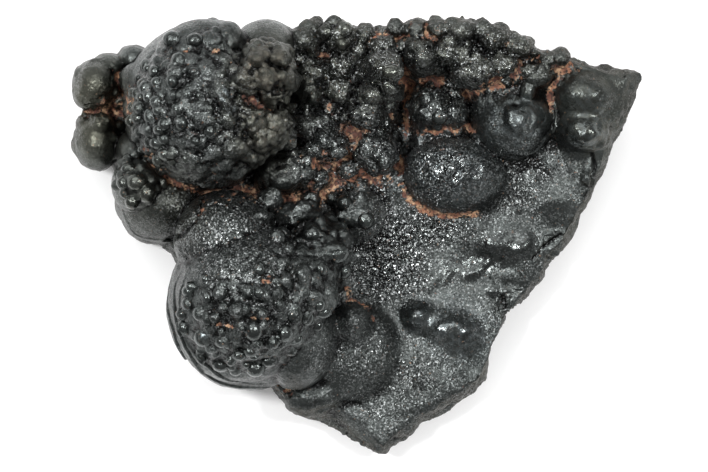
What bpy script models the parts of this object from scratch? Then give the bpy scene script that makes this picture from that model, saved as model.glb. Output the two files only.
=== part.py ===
"""Botryoidal goethite: one loose piece of black iron ore, broken from its vein.

A broken slab carries the growth: two big knobbly mounds and their foothills on the
left, a rough crowded ridge along the back, and low smooth domes on the bare right.
The solid is made the way the mineral grew. Round lobes and small nodules are set
on the slab, everything is fused into one skin, and the foot is cut flat.

Metres, +Z up. The origin is under the middle of the piece, on the surface it rests
on. The tables are in millimetres and are turned to metres where they are used.
"""

import math
import random
from typing import NamedTuple

import bmesh
import bpy
from mathutils import Matrix, Vector, noise
from mathutils.geometry import delaunay_2d_cdt

MM = 0.001

# Driving dimensions, in millimetres
FUSE_STEP = 0.55          # cell of the grid that the shapes are fused on
SKIN_FACES = 9750         # faces kept of the fused skin
SLAB_GRID = 1.6           # spacing of the points that shape the slab's faces
FOOT_INSET = 3.0          # how far the underside draws in from the widest outline
WAIST_SHARE = 0.4         # where the wall is widest, as a share of its height
SPOT_REACH = 6.5          # how far each spot height of the slab is felt
FOOT_CUT = 0.6            # what the flat foot takes off the lowest points
NODULE_SINK = 0.1         # how deep the named nodules sit, as a share of their radius
LUMP_SIZE = 5.0           # wavelength of the uneven growth
LUMP_DEPTH = 0.28         # its height

SEED = 11


class Lobe(NamedTuple):
    """An ellipsoid of growth: plan centre, height of its crown, half axes, turn in degrees."""

    x: float
    y: float
    top: float
    wide: float
    deep: float
    tall: float
    turn: float = 0.0


class Patch(NamedTuple):
    """Nodules scattered on one lobe, round a direction and within a cone of it.

    sink is how deep a nodule's middle lies under the skin, as a share of its radius.
    """

    lobe: str
    facing: tuple
    cone: float
    spacing: float
    small: float
    large: float
    sink: float


class Crowd(NamedTuple):
    """Lumps crowded on the slab inside an ellipse, each rising a little out of it."""

    x: float
    y: float
    wide: float
    deep: float
    turn: float
    spacing: float
    small: float
    large: float


class Crease(NamedTuple):
    """A groove in the slab's top, along a route in plan."""

    width: float
    depth: float
    route: tuple


# The widest outline of the slab, anticlockwise from the right corner. The third
# number is how far its upper rim stands back from it, the width of the broken wall.
OUTLINE = (
    (45.9, 26.2, 2.6), (44.2, 27.0, 2.4), (41.0, 27.6, 1.6), (38.4, 27.7, 1.0),
    (35.6, 28.7, 0.8), (32.5, 29.6, 0.8), (29.6, 30.4, 0.9), (27.2, 32.0, 1.0),
    (24.0, 33.4, 1.0), (19.5, 33.6, 1.0), (16.0, 34.2, 0.9), (11.0, 34.3, 0.9),
    (7.0, 34.2, 0.8), (2.5, 33.5, 0.8), (-2.0, 34.0, 1.2), (-8.0, 32.6, 1.5),
    (-15.0, 32.0, 2.0), (-23.0, 32.0, 2.0), (-31.0, 29.6, 2.0), (-36.0, 28.6, 1.6),
    (-40.5, 26.5, 1.6), (-43.4, 23.2, 1.6), (-42.4, 20.4, 1.2), (-43.2, 17.0, 1.4),
    (-42.6, 13.6, 1.6), (-39.8, 11.4, 1.6), (-37.4, 7.4, 1.6), (-36.4, 2.6, 1.8),
    (-33.4, 0.2, 1.6), (-30.0, -2.8, 1.0), (-28.0, -7.0, 2.0), (-28.4, -12.0, 2.4),
    (-26.0, -17.6, 2.4), (-21.6, -21.8, 2.2), (-16.0, -23.8, 1.8), (-13.4, -24.6, 0.8),
    (-11.8, -27.0, 0.8), (-10.0, -29.0, 1.0), (-6.6, -30.1, 2.6), (-3.6, -31.2, 3.2),
    (-0.4, -33.1, 3.2), (2.6, -34.7, 2.0), (4.8, -35.3, 1.2), (6.8, -33.6, 1.5),
    (10.6, -31.0, 2.0), (15.0, -28.5, 2.0), (18.8, -25.5, 1.6), (21.0, -23.3, 0.9),
    (21.4, -20.8, 0.6), (23.2, -16.8, 0.7), (24.3, -14.0, 0.6), (24.2, -12.6, 0.5),
    (25.4, -11.6, 0.6), (26.8, -10.2, 0.6), (27.8, -9.2, 0.6), (30.4, -5.8, 0.8),
    (31.6, -3.8, 1.2), (33.6, -1.8, 0.9), (36.0, 2.0, 0.9), (38.4, 7.4, 1.0),
    (40.6, 11.4, 1.1), (42.0, 15.2, 1.3), (43.8, 18.8, 1.8), (45.4, 22.2, 2.8),
)

# Spot heights of the slab's top, between and beside the lobes
GROUND = (
    (43.5, 24.5, 14.6), (38.0, 24.0, 14.0), (31.0, 23.0, 14.5), (31.0, 14.0, 12.6),
    (39.5, 12.0, 12.0), (34.0, 6.0, 11.6), (28.0, 9.0, 11.6), (36.0, 3.0, 10.6),
    (22.0, 3.0, 10.8), (30.0, -5.0, 10.2), (20.0, -8.0, 10.4), (14.0, -3.0, 9.8),
    (7.0, -3.0, 8.8), (6.5, -11.0, 8.8), (24.0, -12.0, 9.8), (20.0, -20.0, 10.0),
    (13.0, -21.0, 11.4), (9.0, -28.0, 10.0), (4.0, -32.0, 8.4), (0.0, -29.0, 9.6),
    (-8.0, -28.0, 9.0), (5.0, 8.5, 11.4), (-4.0, 9.5, 12.6), (8.2, 16.0, 12.5),
    (8.5, 21.0, 12.5), (7.5, 26.0, 15.0), (18.0, 17.5, 13.0), (20.0, 23.0, 16.0),
    (25.0, 26.0, 17.0), (30.0, 28.0, 15.5), (20.0, 30.0, 17.0), (12.0, 32.0, 16.8),
    (3.0, 32.0, 16.0), (3.0, 25.0, 16.5), (-6.0, 31.0, 16.0), (-6.0, 25.5, 13.0),
    (-11.0, 31.0, 14.0), (-5.0, 19.5, 14.5), (-9.0, 5.0, 14.0), (2.0, 17.0, 14.5),
    (-24.5, 6.5, 13.5), (-28.5, -1.5, 10.0), (-38.8, 21.5, 10.5), (-43.3, 19.6, 6.5),
    (-38.0, 27.0, 8.5), (-33.0, 29.0, 9.0), (-14.0, -12.0, 10.0), (-24.0, 20.0, 12.0),
)

# Spot heights of its underside: flat under the mounds, lifted towards the broken edge
UNDERSIDE = (
    (-20.0, 20.0, 0.0), (-30.0, 10.0, 0.0), (-10.0, 2.0, 0.0), (-22.0, -10.0, 0.0),
    (-4.0, 18.0, 0.0), (6.0, 8.0, 0.0), (-6.0, -16.0, 0.0), (6.0, -12.0, 0.0),
    (8.0, 22.0, 0.4), (18.0, 10.0, 0.4), (16.0, -6.0, 0.4), (30.0, 18.0, 2.4),
    (22.0, 22.0, 1.2), (44.0, 25.0, 7.0), (38.0, 10.0, 5.6), (33.0, 0.0, 4.6),
    (26.0, -10.0, 4.0), (20.0, -20.0, 3.6), (5.0, -34.0, 3.4), (-8.0, -27.0, 2.4),
    (-24.0, -20.0, 1.4), (-30.0, -8.0, 1.4), (-36.0, 4.0, 2.4), (-42.0, 14.0, 3.6),
    (-42.0, 24.0, 4.2), (-34.0, 29.0, 3.6), (-20.0, 33.0, 3.0), (0.0, 33.0, 3.8),
    (15.0, 33.0, 4.6), (30.0, 29.0, 6.0),
)

CREASES = (
    Crease(1.4, 4.5, ((8.0, 24.0), (8.3, 20.0), (7.6, 16.4), (7.2, 12.0))),
    Crease(1.1, 3.5, ((18.2, 22.0), (17.8, 17.0))),
    Crease(1.2, 2.5, ((9.5, 24.6), (14.5, 25.4), (18.0, 22.5))),
    Crease(1.2, 2.0, ((31.0, 25.5), (31.6, 20.0), (32.0, 15.5))),
    Crease(0.9, 1.2, ((6.8, -17.0), (7.2, -19.0), (6.3, -22.0), (3.0, -25.9), (-4.0, -27.8))),
)

LOBES = {
    # The upper left mound: a smooth skirt, a knobbly crown and its grape clusters
    "crown_skirt": Lobe(-24.6, 21.0, 27.5, 12.9, 13.7, 14.0),
    "crown": Lobe(-24.4, 20.4, 32.0, 11.4, 12.4, 12.5),
    "crown_brow": Lobe(-24.5, 29.2, 28.0, 7.8, 5.6, 8.0, 12.0),
    "crown_ear": Lobe(-35.0, 25.2, 19.0, 3.1, 2.9, 6.0),
    "crown_hem": Lobe(-34.6, 18.6, 21.0, 2.6, 5.2, 8.0),
    "crown_tip": Lobe(-22.9, 33.6, 23.0, 1.5, 1.6, 2.4),
    "crown_knob_back": Lobe(-20.4, 32.0, 26.5, 2.4, 2.4, 3.2),
    "crown_knob_left": Lobe(-26.6, 31.6, 26.0, 2.6, 2.3, 3.2),
    "crown_facet": Lobe(-20.9, 21.8, 33.2, 1.9, 2.8, 3.2, 10.0),
    "crown_pebble": Lobe(-19.1, 14.6, 31.4, 2.0, 2.2, 3.0),
    "crown_lip": Lobe(-24.0, 11.4, 27.0, 5.4, 2.9, 6.0, 8.0),
    "grape_high_a": Lobe(-15.6, 28.2, 32.5, 2.5, 2.8, 6.0),
    "grape_high_b": Lobe(-12.3, 28.4, 31.0, 2.2, 2.4, 6.5),
    "grape_high_c": Lobe(-14.2, 25.0, 33.6, 3.1, 2.3, 6.5),
    "grape_high_d": Lobe(-17.4, 25.0, 33.0, 2.0, 2.2, 5.0),
    "grape_high_e": Lobe(-11.2, 25.2, 30.5, 2.0, 2.2, 6.5),
    "grape_high_f": Lobe(-13.6, 22.4, 30.5, 2.6, 1.5, 4.5, -12.0),
    "grape_low_a": Lobe(-16.6, 18.6, 31.0, 2.3, 1.9, 4.0),
    "grape_low_b": Lobe(-12.8, 18.2, 29.0, 2.3, 2.0, 5.5),
    "grape_low_c": Lobe(-14.8, 15.4, 29.5, 2.4, 2.0, 5.5),
    "grape_low_d": Lobe(-11.6, 15.8, 26.0, 1.5, 1.7, 4.0),
    "grape_low_e": Lobe(-16.4, 12.8, 27.5, 1.6, 1.5, 4.0),
    "grape_low_f": Lobe(-19.2, 10.9, 25.5, 2.0, 1.6, 4.5),
    "grape_low_g": Lobe(-23.6, 11.0, 26.0, 2.1, 1.6, 4.5),
    # Its foothills: a smooth dome behind, three small mounds on the far left
    "back_dome": Lobe(-14.5, 30.2, 24.0, 5.4, 4.7, 9.0),
    "left_mound": Lobe(-31.2, 5.6, 20.0, 7.9, 6.9, 13.0, -12.0),
    "left_mound_hem": Lobe(-33.0, 3.2, 14.5, 5.2, 4.4, 9.0, -20.0),
    "left_snout": Lobe(-34.7, 8.4, 22.5, 4.6, 4.8, 8.0),
    "left_snout_ridge": Lobe(-35.6, 13.0, 18.5, 2.9, 4.3, 7.0, 16.0),
    "far_upper": Lobe(-41.9, 24.5, 15.5, 3.9, 4.3, 6.5),
    "far_upper_cheek": Lobe(-43.7, 23.1, 14.0, 2.0, 2.4, 4.0),
    "far_upper_back": Lobe(-40.0, 27.4, 13.0, 3.0, 2.2, 4.5),
    "far_corner": Lobe(-35.9, 28.6, 12.5, 2.6, 2.5, 4.5),
    "far_lower": Lobe(-41.7, 15.4, 14.5, 3.9, 4.8, 6.5),
    "far_lower_cheek": Lobe(-44.0, 14.8, 11.5, 1.8, 2.3, 4.0),
    "far_lower_brow": Lobe(-43.7, 18.2, 12.0, 1.6, 1.4, 3.5),
    "far_lower_knob": Lobe(-41.0, 18.0, 15.0, 1.9, 2.0, 3.5),
    # The lower left mound: skirts like shells, a nodule-covered crown, a smooth side
    "knob_skirt": Lobe(-17.2, -10.8, 24.0, 13.2, 13.9, 12.5),
    "knob_shell": Lobe(-18.2, -11.0, 28.5, 12.0, 12.6, 13.0),
    "knob": Lobe(-17.0, -9.8, 33.4, 11.9, 12.0, 14.0),
    "knob_right": Lobe(-9.6, -8.6, 30.6, 6.8, 6.6, 9.0),
    "knob_shoulder": Lobe(-20.6, -0.6, 28.0, 8.6, 8.0, 11.0, -8.0),
    "knob_smooth_side": Lobe(-8.8, -16.8, 23.0, 5.9, 7.9, 10.0, -12.0),
    "knob_crest": Lobe(-6.4, -2.6, 26.0, 5.8, 5.8, 8.5),
    "knob_step": Lobe(-9.6, 3.2, 23.5, 3.4, 2.5, 6.0, 10.0),
    "knob_step_left": Lobe(-14.0, 5.6, 21.5, 2.4, 2.2, 4.5),
    "knob_step_low": Lobe(-15.4, 3.0, 25.0, 1.8, 1.6, 3.0),
    # The crowded ridge along the back
    "ridge_a": Lobe(-8.4, 31.4, 20.0, 2.6, 2.4, 3.8),
    "ridge_a_tip": Lobe(-6.7, 33.4, 18.5, 1.6, 1.7, 2.8),
    "ridge_b": Lobe(-2.6, 32.2, 20.4, 2.9, 2.9, 4.0),
    "ridge_c": Lobe(-7.2, 26.8, 18.5, 2.7, 2.6, 3.8),
    "ridge_d": Lobe(-2.7, 27.4, 19.5, 2.5, 2.3, 3.6),
    "ridge_e": Lobe(-7.4, 22.8, 18.5, 2.9, 2.4, 3.6),
    "ridge_f": Lobe(-2.9, 23.4, 18.5, 2.4, 2.5, 3.6),
    "ridge_g": Lobe(4.6, 27.0, 23.0, 3.1, 3.0, 5.5),
    "ridge_h": Lobe(4.3, 30.4, 19.5, 2.2, 1.8, 3.0),
    "ridge_i": Lobe(5.9, 23.6, 21.0, 1.9, 1.8, 4.0),
    "ridge_j": Lobe(2.4, 22.6, 20.0, 2.5, 2.2, 4.0),
    "ridge_k": Lobe(1.8, 19.4, 19.5, 3.0, 2.5, 4.0),
    "ridge_l": Lobe(-8.2, 18.2, 18.5, 2.5, 2.5, 3.8),
    "ridge_m": Lobe(-4.5, 15.2, 19.0, 3.4, 3.3, 5.0),
    "ridge_n": Lobe(3.1, 13.7, 17.8, 3.6, 3.6, 5.0),
    "ridge_o": Lobe(-11.2, 10.2, 21.0, 5.4, 3.8, 6.5, 22.0),
    "ridge_p": Lobe(0.0, 3.8, 16.0, 4.9, 4.6, 6.0),
    "ridge_q": Lobe(10.6, 29.1, 21.4, 2.8, 3.6, 5.0),
    "ridge_r": Lobe(9.6, 33.4, 19.0, 2.0, 1.8, 3.0),
    "ridge_s": Lobe(13.2, 33.2, 19.0, 2.2, 1.8, 3.0),
    "ridge_t": Lobe(17.0, 33.0, 20.0, 2.6, 2.2, 3.4),
    "ridge_u": Lobe(15.9, 29.6, 20.0, 2.8, 2.2, 3.4),
    "ridge_v": Lobe(19.3, 26.6, 20.4, 4.4, 2.9, 4.2, 16.0),
    "ridge_v_side": Lobe(23.4, 27.6, 19.6, 2.8, 2.4, 3.4),
    "ridge_w": Lobe(22.4, 31.6, 20.0, 2.9, 2.3, 3.4),
    "ridge_x": Lobe(26.0, 30.4, 19.2, 2.5, 2.1, 3.2),
    "ridge_y": Lobe(32.8, 28.7, 18.0, 1.8, 1.5, 3.0),
    "ridge_z": Lobe(29.2, 26.0, 18.0, 2.8, 2.1, 3.2, 20.0),
    "inner_dome": Lobe(12.2, 20.8, 18.0, 3.7, 3.7, 6.0),
    "inner_dome_side": Lobe(15.8, 19.9, 16.4, 2.2, 2.6, 4.5),
    # The smooth domes on the bare right side
    "dome_large": Lobe(16.0, 10.0, 17.5, 8.4, 6.4, 7.0, -6.0),
    "dome_ringed": Lobe(25.4, 18.3, 18.0, 6.1, 6.0, 6.0),
    "dome_ringed_boss": Lobe(26.2, 18.8, 18.8, 3.2, 3.0, 3.2),
    "dome_twin_back": Lobe(37.0, 22.7, 18.1, 5.2, 4.1, 5.8, -8.0),
    "dome_twin_front": Lobe(36.7, 16.9, 17.7, 4.9, 3.6, 5.8, 4.0),
    "dome_shallow": Lobe(25.0, -0.9, 12.2, 6.2, 4.3, 3.0, -5.0),
    "dome_bead": Lobe(10.1, -13.0, 12.1, 2.7, 2.3, 2.6),
    "dome_blister": Lobe(15.9, -15.1, 12.7, 5.0, 3.7, 3.4, -12.0),
    "dome_chip": Lobe(37.2, 9.7, 13.4, 1.4, 1.6, 2.5),
    "dome_edge": Lobe(32.0, 6.0, 12.6, 3.9, 2.9, 3.6),
    "dome_low": Lobe(26.2, -6.0, 11.4, 4.2, 2.8, 3.4, 12.0),
    "swell": Lobe(-0.8, -18.8, 13.8, 8.8, 7.4, 5.2, 24.0),
    "swell_toe": Lobe(-6.4, -25.8, 12.6, 5.2, 3.1, 4.4, 12.0),
    "swell_cheek": Lobe(-0.4, -13.8, 18.0, 3.0, 3.4, 5.0, 20.0),
}

# Nodules that stand out one by one: x, y and radius, on whatever lobe lies there
NODULES = (
    (-26.5, -8.7, 1.1), (-23.8, -9.1, 1.0), (-21.4, -9.0, 1.2), (-17.0, -8.6, 1.0),
    (-15.2, -8.9, 1.0), (-12.4, -9.0, 1.1), (-24.7, -12.2, 1.2), (-22.3, -12.9, 1.1),
    (-18.8, -11.6, 1.4), (-15.0, -12.1, 1.2), (-27.3, -14.5, 1.2), (-24.2, -16.0, 1.5),
    (-21.2, -16.6, 1.3), (-22.8, -17.8, 1.1), (-16.2, -14.8, 1.6), (-11.2, -15.3, 1.3),
    (-13.2, -16.8, 1.2), (-16.7, -18.2, 1.1), (-18.5, -18.8, 1.2), (-24.6, -19.1, 1.2),
    (-21.5, -20.5, 1.4), (-19.2, -21.2, 1.1), (-16.0, -20.9, 1.7), (-7.8, -12.8, 1.3),
    (-5.2, -12.0, 1.3), (-6.3, -14.2, 1.1), (-9.8, -12.4, 1.4), (-12.5, -0.3, 1.4),
    (-4.0, 2.9, 1.5), (-6.9, 0.4, 1.3), (-8.6, -2.6, 1.7), (-3.0, -2.6, 1.9),
    (-8.6, -6.1, 1.9), (-1.9, -5.5, 1.4), (-5.6, -5.2, 1.3), (-2.1, 0.0, 1.3),
    (-33.4, 23.6, 1.1), (-34.4, 20.4, 1.2), (-31.6, 21.4, 1.3), (-32.8, 19.2, 1.1),
    (-33.6, 17.2, 1.1), (-35.0, 17.0, 1.0), (-31.2, 17.0, 1.1), (-31.5, 14.9, 1.2),
    (-30.2, 13.1, 1.4), (-28.6, 25.7, 1.4), (-29.2, 31.4, 1.4), (-25.6, 31.2, 1.3),
    (-28.0, 27.8, 1.5), (-26.6, 22.6, 1.2), (-27.6, 18.0, 1.2), (-36.4, 12.2, 1.1),
    (-36.3, 10.8, 1.2), (-37.2, 8.6, 1.1), (-35.0, 8.7, 1.5), (-33.4, 7.0, 1.7),
    (-35.8, 5.6, 1.2), (-4.6, 32.8, 1.2), (-1.6, 33.2, 1.2), (-2.2, 30.8, 1.1),
    (-6.6, 14.0, 1.4), (-3.0, 13.6, 1.3), (4.6, 12.0, 1.3), (1.6, 2.6, 1.4),
    (-1.8, 5.4, 1.4), (11.4, 22.0, 1.3), (13.4, 19.2, 1.3), (5.6, 26.2, 1.4),
)

PATCHES = (
    Patch("crown", (-0.25, 0.0, 1.0), 78.0, 2.7, 1.0, 1.4, 0.0),
    Patch("knob", (-0.1, -0.35, 1.0), 72.0, 2.6, 1.0, 1.35, 0.1),
    Patch("knob_right", (0.5, -0.3, 1.0), 70.0, 2.6, 1.0, 1.3, 0.1),
    Patch("knob_crest", (0.5, 0.3, 1.0), 70.0, 2.6, 1.0, 1.3, 0.1),
    Patch("left_snout", (-0.3, 0.0, 1.0), 60.0, 2.6, 1.0, 1.3, 0.3),
    Patch("far_upper", (-0.5, 0.2, 0.8), 85.0, 3.2, 1.2, 1.5, 0.5),
    Patch("far_lower", (-0.6, -0.1, 0.8), 85.0, 3.2, 1.2, 1.5, 0.5),
    Patch("grape_high_a", (0.0, 0.0, 1.0), 90.0, 2.3, 0.9, 1.2, 0.1),
    Patch("grape_high_c", (0.0, 0.0, 1.0), 90.0, 2.3, 0.9, 1.2, 0.1),
    Patch("grape_low_a", (0.0, 0.0, 1.0), 90.0, 2.3, 0.9, 1.2, 0.1),
    Patch("grape_low_b", (0.0, 0.0, 1.0), 90.0, 2.3, 0.9, 1.2, 0.1),
    Patch("grape_low_c", (0.0, 0.0, 1.0), 90.0, 2.3, 0.9, 1.2, 0.1),
    Patch("ridge_o", (0.0, 0.0, 1.0), 80.0, 2.8, 1.0, 1.5, 0.2),
)

CROWDS = (
    Crowd(-4.0, 26.0, 9.0, 8.5, 0.0, 2.9, 1.2, 2.1),
    Crowd(17.0, 29.5, 15.0, 4.6, -6.0, 2.9, 1.2, 2.0),
    Crowd(28.0, 25.5, 5.0, 2.4, 18.0, 2.6, 1.0, 1.5),
    Crowd(-6.0, 10.5, 8.0, 6.5, 0.0, 3.0, 1.2, 1.9),
    Crowd(-39.0, 22.0, 4.0, 6.0, 0.0, 2.8, 1.0, 1.6),
)


def clear_scene():
    for item in list(bpy.data.objects):
        bpy.data.objects.remove(item)


def blended(spots, x, y):
    """Height between spot heights, each felt most close to it, in millimetres."""
    total = weight = 0.0
    for spot_x, spot_y, height in spots:
        reach = ((x - spot_x) ** 2 + (y - spot_y) ** 2) / SPOT_REACH**2
        share = math.exp(-reach) + 1e-6
        total += share * height
        weight += share
    return total / weight


def distance_to_route(route, x, y):
    """Distance in plan from a point to the nearest leg of a route."""
    here = Vector((x, y))
    found = []
    for start, end in zip(route, route[1:]):
        start, leg = Vector(start), Vector(end) - Vector(start)
        share = max(0.0, min(1.0, (here - start).dot(leg) / leg.length_squared))
        found.append((here - start - leg * share).length)
    return min(found)


def ground(x, y):
    """Height of the slab's top, in millimetres."""
    height = blended(GROUND, x, y)
    for crease in CREASES:
        away = distance_to_route(crease.route, x, y)
        height -= crease.depth * math.exp(-((away / crease.width) ** 2))
    return height


def inward(ring):
    """The direction into the slab at each corner of a ring."""
    found = []
    for index, here in enumerate(ring):
        along = ring[(index + 1) % len(ring)] - ring[index - 1]
        found.append(Vector((-along.y, along.x)).normalized())
    return found


def slab_face(mesh, rim, height_at):
    """Fills a rim of points with a net of triangles that follows height_at."""
    corners = [Vector((v.co.x, v.co.y)) for v in rim]
    low_x, high_x = min(c.x for c in corners), max(c.x for c in corners)
    low_y, high_y = min(c.y for c in corners), max(c.y for c in corners)
    points = list(corners)
    step = SLAB_GRID * MM
    for row in range(int((high_y - low_y) / step)):
        for column in range(int((high_x - low_x) / step)):
            points.append(Vector((low_x + (column + 0.5) * step, low_y + (row + 0.5) * step)))
    ring = [list(range(len(corners)))]
    inside_only = 1
    made, _, faces, origin, _, _ = delaunay_2d_cdt(points, [], ring, inside_only, 1e-6)
    placed = []
    for spot, came_from in zip(made, origin):
        on_rim = [i for i in came_from if i < len(rim)]
        if on_rim:
            placed.append(rim[on_rim[0]])
        else:
            height = height_at(spot.x / MM, spot.y / MM) * MM
            placed.append(mesh.verts.new((spot.x, spot.y, height)))
    for face in faces:
        mesh.faces.new([placed[i] for i in face])


def add_slab(mesh):
    """The broken slab: an uneven top, a ragged wall and an underside that draws in."""
    shake = random.Random(SEED)
    widest = [Vector((x, y)) * MM for x, y, _ in OUTLINE]
    upper, waist, lower = [], [], []
    for (_, _, wall), corner, way in zip(OUTLINE, widest, inward(widest)):
        rim = corner + way * wall * MM
        foot = corner + way * (FOOT_INSET + shake.uniform(-0.6, 0.6)) * MM
        top = ground(rim.x / MM, rim.y / MM)
        low = blended(UNDERSIDE, foot.x / MM, foot.y / MM) + shake.uniform(-0.4, 0.4)
        middle = low + (top - low) * (WAIST_SHARE + shake.uniform(-0.15, 0.15))
        upper.append(mesh.verts.new((rim.x, rim.y, top * MM)))
        waist.append(mesh.verts.new((corner.x, corner.y, middle * MM)))
        lower.append(mesh.verts.new((foot.x, foot.y, low * MM)))
    for above, below in ((upper, waist), (waist, lower)):
        for i in range(len(widest)):
            j = (i + 1) % len(widest)
            mesh.faces.new((above[i], below[i], below[j], above[j]))
    slab_face(mesh, upper, ground)
    slab_face(mesh, lower, lambda x, y: blended(UNDERSIDE, x, y))


def placing(lobe):
    """The matrix that turns a unit ball into the lobe."""
    centre = Vector((lobe.x, lobe.y, lobe.top - lobe.tall)) * MM
    turn = Matrix.Rotation(math.radians(lobe.turn), 4, "Z")
    size = Matrix.Diagonal((lobe.wide * MM, lobe.deep * MM, lobe.tall * MM, 1.0))
    return Matrix.Translation(centre) @ turn @ size


def add_ball(mesh, matrix, fineness):
    bmesh.ops.create_icosphere(mesh, subdivisions=fineness, radius=1.0, matrix=matrix)


def add_nodule(mesh, spot, radius):
    """A small ball whose middle is at spot, both in metres."""
    add_ball(mesh, Matrix.Translation(spot) @ Matrix.Scale(radius, 4), 2)


def in_ellipse(area, x, y):
    """How far out a plan point lies in a turned ellipse: under 1 is inside."""
    turn = math.radians(-area.turn)
    dx, dy = x - area.x, y - area.y
    across = (dx * math.cos(turn) - dy * math.sin(turn)) / area.wide
    along = (dx * math.sin(turn) + dy * math.cos(turn)) / area.deep
    return across**2 + along**2


def surface_height(x, y):
    """Height of the slab or of the tallest lobe over a plan point, in millimetres."""
    height = ground(x, y)
    for lobe in LOBES.values():
        out = in_ellipse(lobe, x, y)
        if out < 1.0:
            height = max(height, lobe.top - lobe.tall + lobe.tall * math.sqrt(1.0 - out))
    return height


def add_named_nodules(mesh):
    for x, y, radius in NODULES:
        height = surface_height(x, y) - NODULE_SINK * radius
        add_nodule(mesh, Vector((x, y, height)) * MM, radius * MM)


def add_patch(mesh, patch, dice, taken):
    """Scatters nodules evenly over a lobe's skin, inside the patch's cone."""
    matrix = placing(LOBES[patch.lobe])
    facing = Vector(patch.facing).normalized()
    for _ in range(900):
        way = Vector([dice.gauss(0, 1) for _ in range(3)]).normalized()
        radius = dice.uniform(patch.small, patch.large) * MM
        spot = matrix @ way
        buried = surface_height(spot.x / MM, spot.y / MM) > spot.z / MM + 1.0
        crowded = any((spot - other).length < patch.spacing * MM for other in taken)
        if buried or crowded or math.degrees(way.angle(facing)) > patch.cone:
            continue
        taken.append(spot)
        inwards = (matrix.to_3x3() @ way).normalized() * patch.sink * radius
        add_nodule(mesh, spot - inwards, radius)


def add_crowd(mesh, crowd, dice, taken):
    """Scatters lumps over the slab inside an ellipse, clear of the lobes' tops."""
    reach = max(crowd.wide, crowd.deep)
    for _ in range(500):
        x = crowd.x + dice.uniform(-reach, reach)
        y = crowd.y + dice.uniform(-reach, reach)
        radius = dice.uniform(crowd.small, crowd.large) * MM
        if in_ellipse(crowd, x, y) > 1.0:
            continue
        floor = ground(x, y)
        spot = Vector((x, y, floor)) * MM
        crowded = any((spot - other).length < crowd.spacing * MM for other in taken)
        if crowded or surface_height(x, y) > floor + 1.5:
            continue
        taken.append(spot)
        add_nodule(mesh, spot + Vector((0.0, 0.0, 0.3 * radius)), radius)


def fused(rough):
    """Fuses the overlapping shapes into one skin and thins it to SKIN_FACES."""
    body = bpy.data.objects.new("rough_growth", rough)
    bpy.context.scene.collection.objects.link(body)
    skin = body.modifiers.new("fuse", "REMESH")
    skin.mode = "VOXEL"
    skin.voxel_size = FUSE_STEP * MM
    relax = body.modifiers.new("relax", "SMOOTH")
    relax.factor = 0.5
    relax.iterations = 1
    graph = bpy.context.evaluated_depsgraph_get()
    count = 2 * len(body.evaluated_get(graph).data.polygons)
    thin = body.modifiers.new("thin", "DECIMATE")
    thin.ratio = min(1.0, SKIN_FACES / count)
    graph = bpy.context.evaluated_depsgraph_get()
    made = bpy.data.meshes.new_from_object(body.evaluated_get(graph))
    bpy.data.objects.remove(body)
    bpy.data.meshes.remove(rough)
    return made


def make_uneven(mesh):
    """Moves the skin in and out a little, as growth is never quite round."""
    for vertex in mesh.verts:
        swell = noise.noise(vertex.co / (LUMP_SIZE * MM))
        vertex.co += vertex.normal * swell * LUMP_DEPTH * MM


def cut_foot(mesh):
    """Cuts the underside flat, so that the piece rests on the cut at height zero."""
    bmesh.ops.translate(mesh, verts=mesh.verts, vec=(0.0, 0.0, -FOOT_CUT * MM))
    everything = mesh.verts[:] + mesh.edges[:] + mesh.faces[:]
    bmesh.ops.bisect_plane(
        mesh, geom=everything, plane_co=(0, 0, 0), plane_no=(0, 0, -1), clear_outer=True
    )
    bmesh.ops.holes_fill(mesh, edges=[e for e in mesh.edges if e.is_boundary])


def centre_on_foot(mesh):
    """Puts the origin under the middle of the piece."""
    for axis in (0, 1):
        low = min(v.co[axis] for v in mesh.verts)
        high = max(v.co[axis] for v in mesh.verts)
        shift = Vector((0.0, 0.0, 0.0))
        shift[axis] = -(low + high) / 2
        bmesh.ops.translate(mesh, verts=mesh.verts, vec=shift)


def goethite_material():
    material = bpy.data.materials.new("black_goethite")
    material.use_nodes = True
    shader = material.node_tree.nodes["Principled BSDF"]
    shader.inputs["Base Color"].default_value = (0.032, 0.034, 0.034, 1.0)
    shader.inputs["Roughness"].default_value = 0.38
    shader.inputs["Metallic"].default_value = 0.25
    return material


def rough_growth():
    """All the shapes of the piece in one mesh, overlapping and not yet fused."""
    growth = bmesh.new()
    add_slab(growth)
    for lobe in LOBES.values():
        add_ball(growth, placing(lobe), 4)
    add_named_nodules(growth)
    dice = random.Random(SEED)
    taken = [Vector((x, y, surface_height(x, y))) * MM for x, y, _ in NODULES]
    for patch in PATCHES:
        add_patch(growth, patch, dice, taken)
    for crowd in CROWDS:
        add_crowd(growth, crowd, dice, taken)
    rough = bpy.data.meshes.new("rough")
    growth.to_mesh(rough)
    growth.free()
    return rough


def build():
    clear_scene()
    solid = fused(rough_growth())
    skin = bmesh.new()
    skin.from_mesh(solid)
    make_uneven(skin)
    cut_foot(skin)
    centre_on_foot(skin)
    skin.to_mesh(solid)
    skin.free()
    solid.name = "goethite"
    solid.materials.append(goethite_material())
    body = bpy.data.objects.new("goethite", solid)
    bpy.context.scene.collection.objects.link(body)


build()
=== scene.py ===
"""Botryoidal goethite, dressed: the same growth as the solid, at the size of its crystals.

The lobes of the solid are repeated here and covered with nodules, fused into one
fine skin, roughened, and coloured by where each point lies. Nodules that stand proud
get fine round caps, and druse crystals are sown on the skin as small faceted grains.

The tables are in millimetres, measured from the middle of the piece and from the
surface it rests on. Everything in the scene is in metres.
"""

import math
import random
from typing import NamedTuple

import bmesh
import bpy
import numpy as np
from mathutils import Matrix, Vector, noise
from mathutils.geometry import delaunay_2d_cdt


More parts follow.
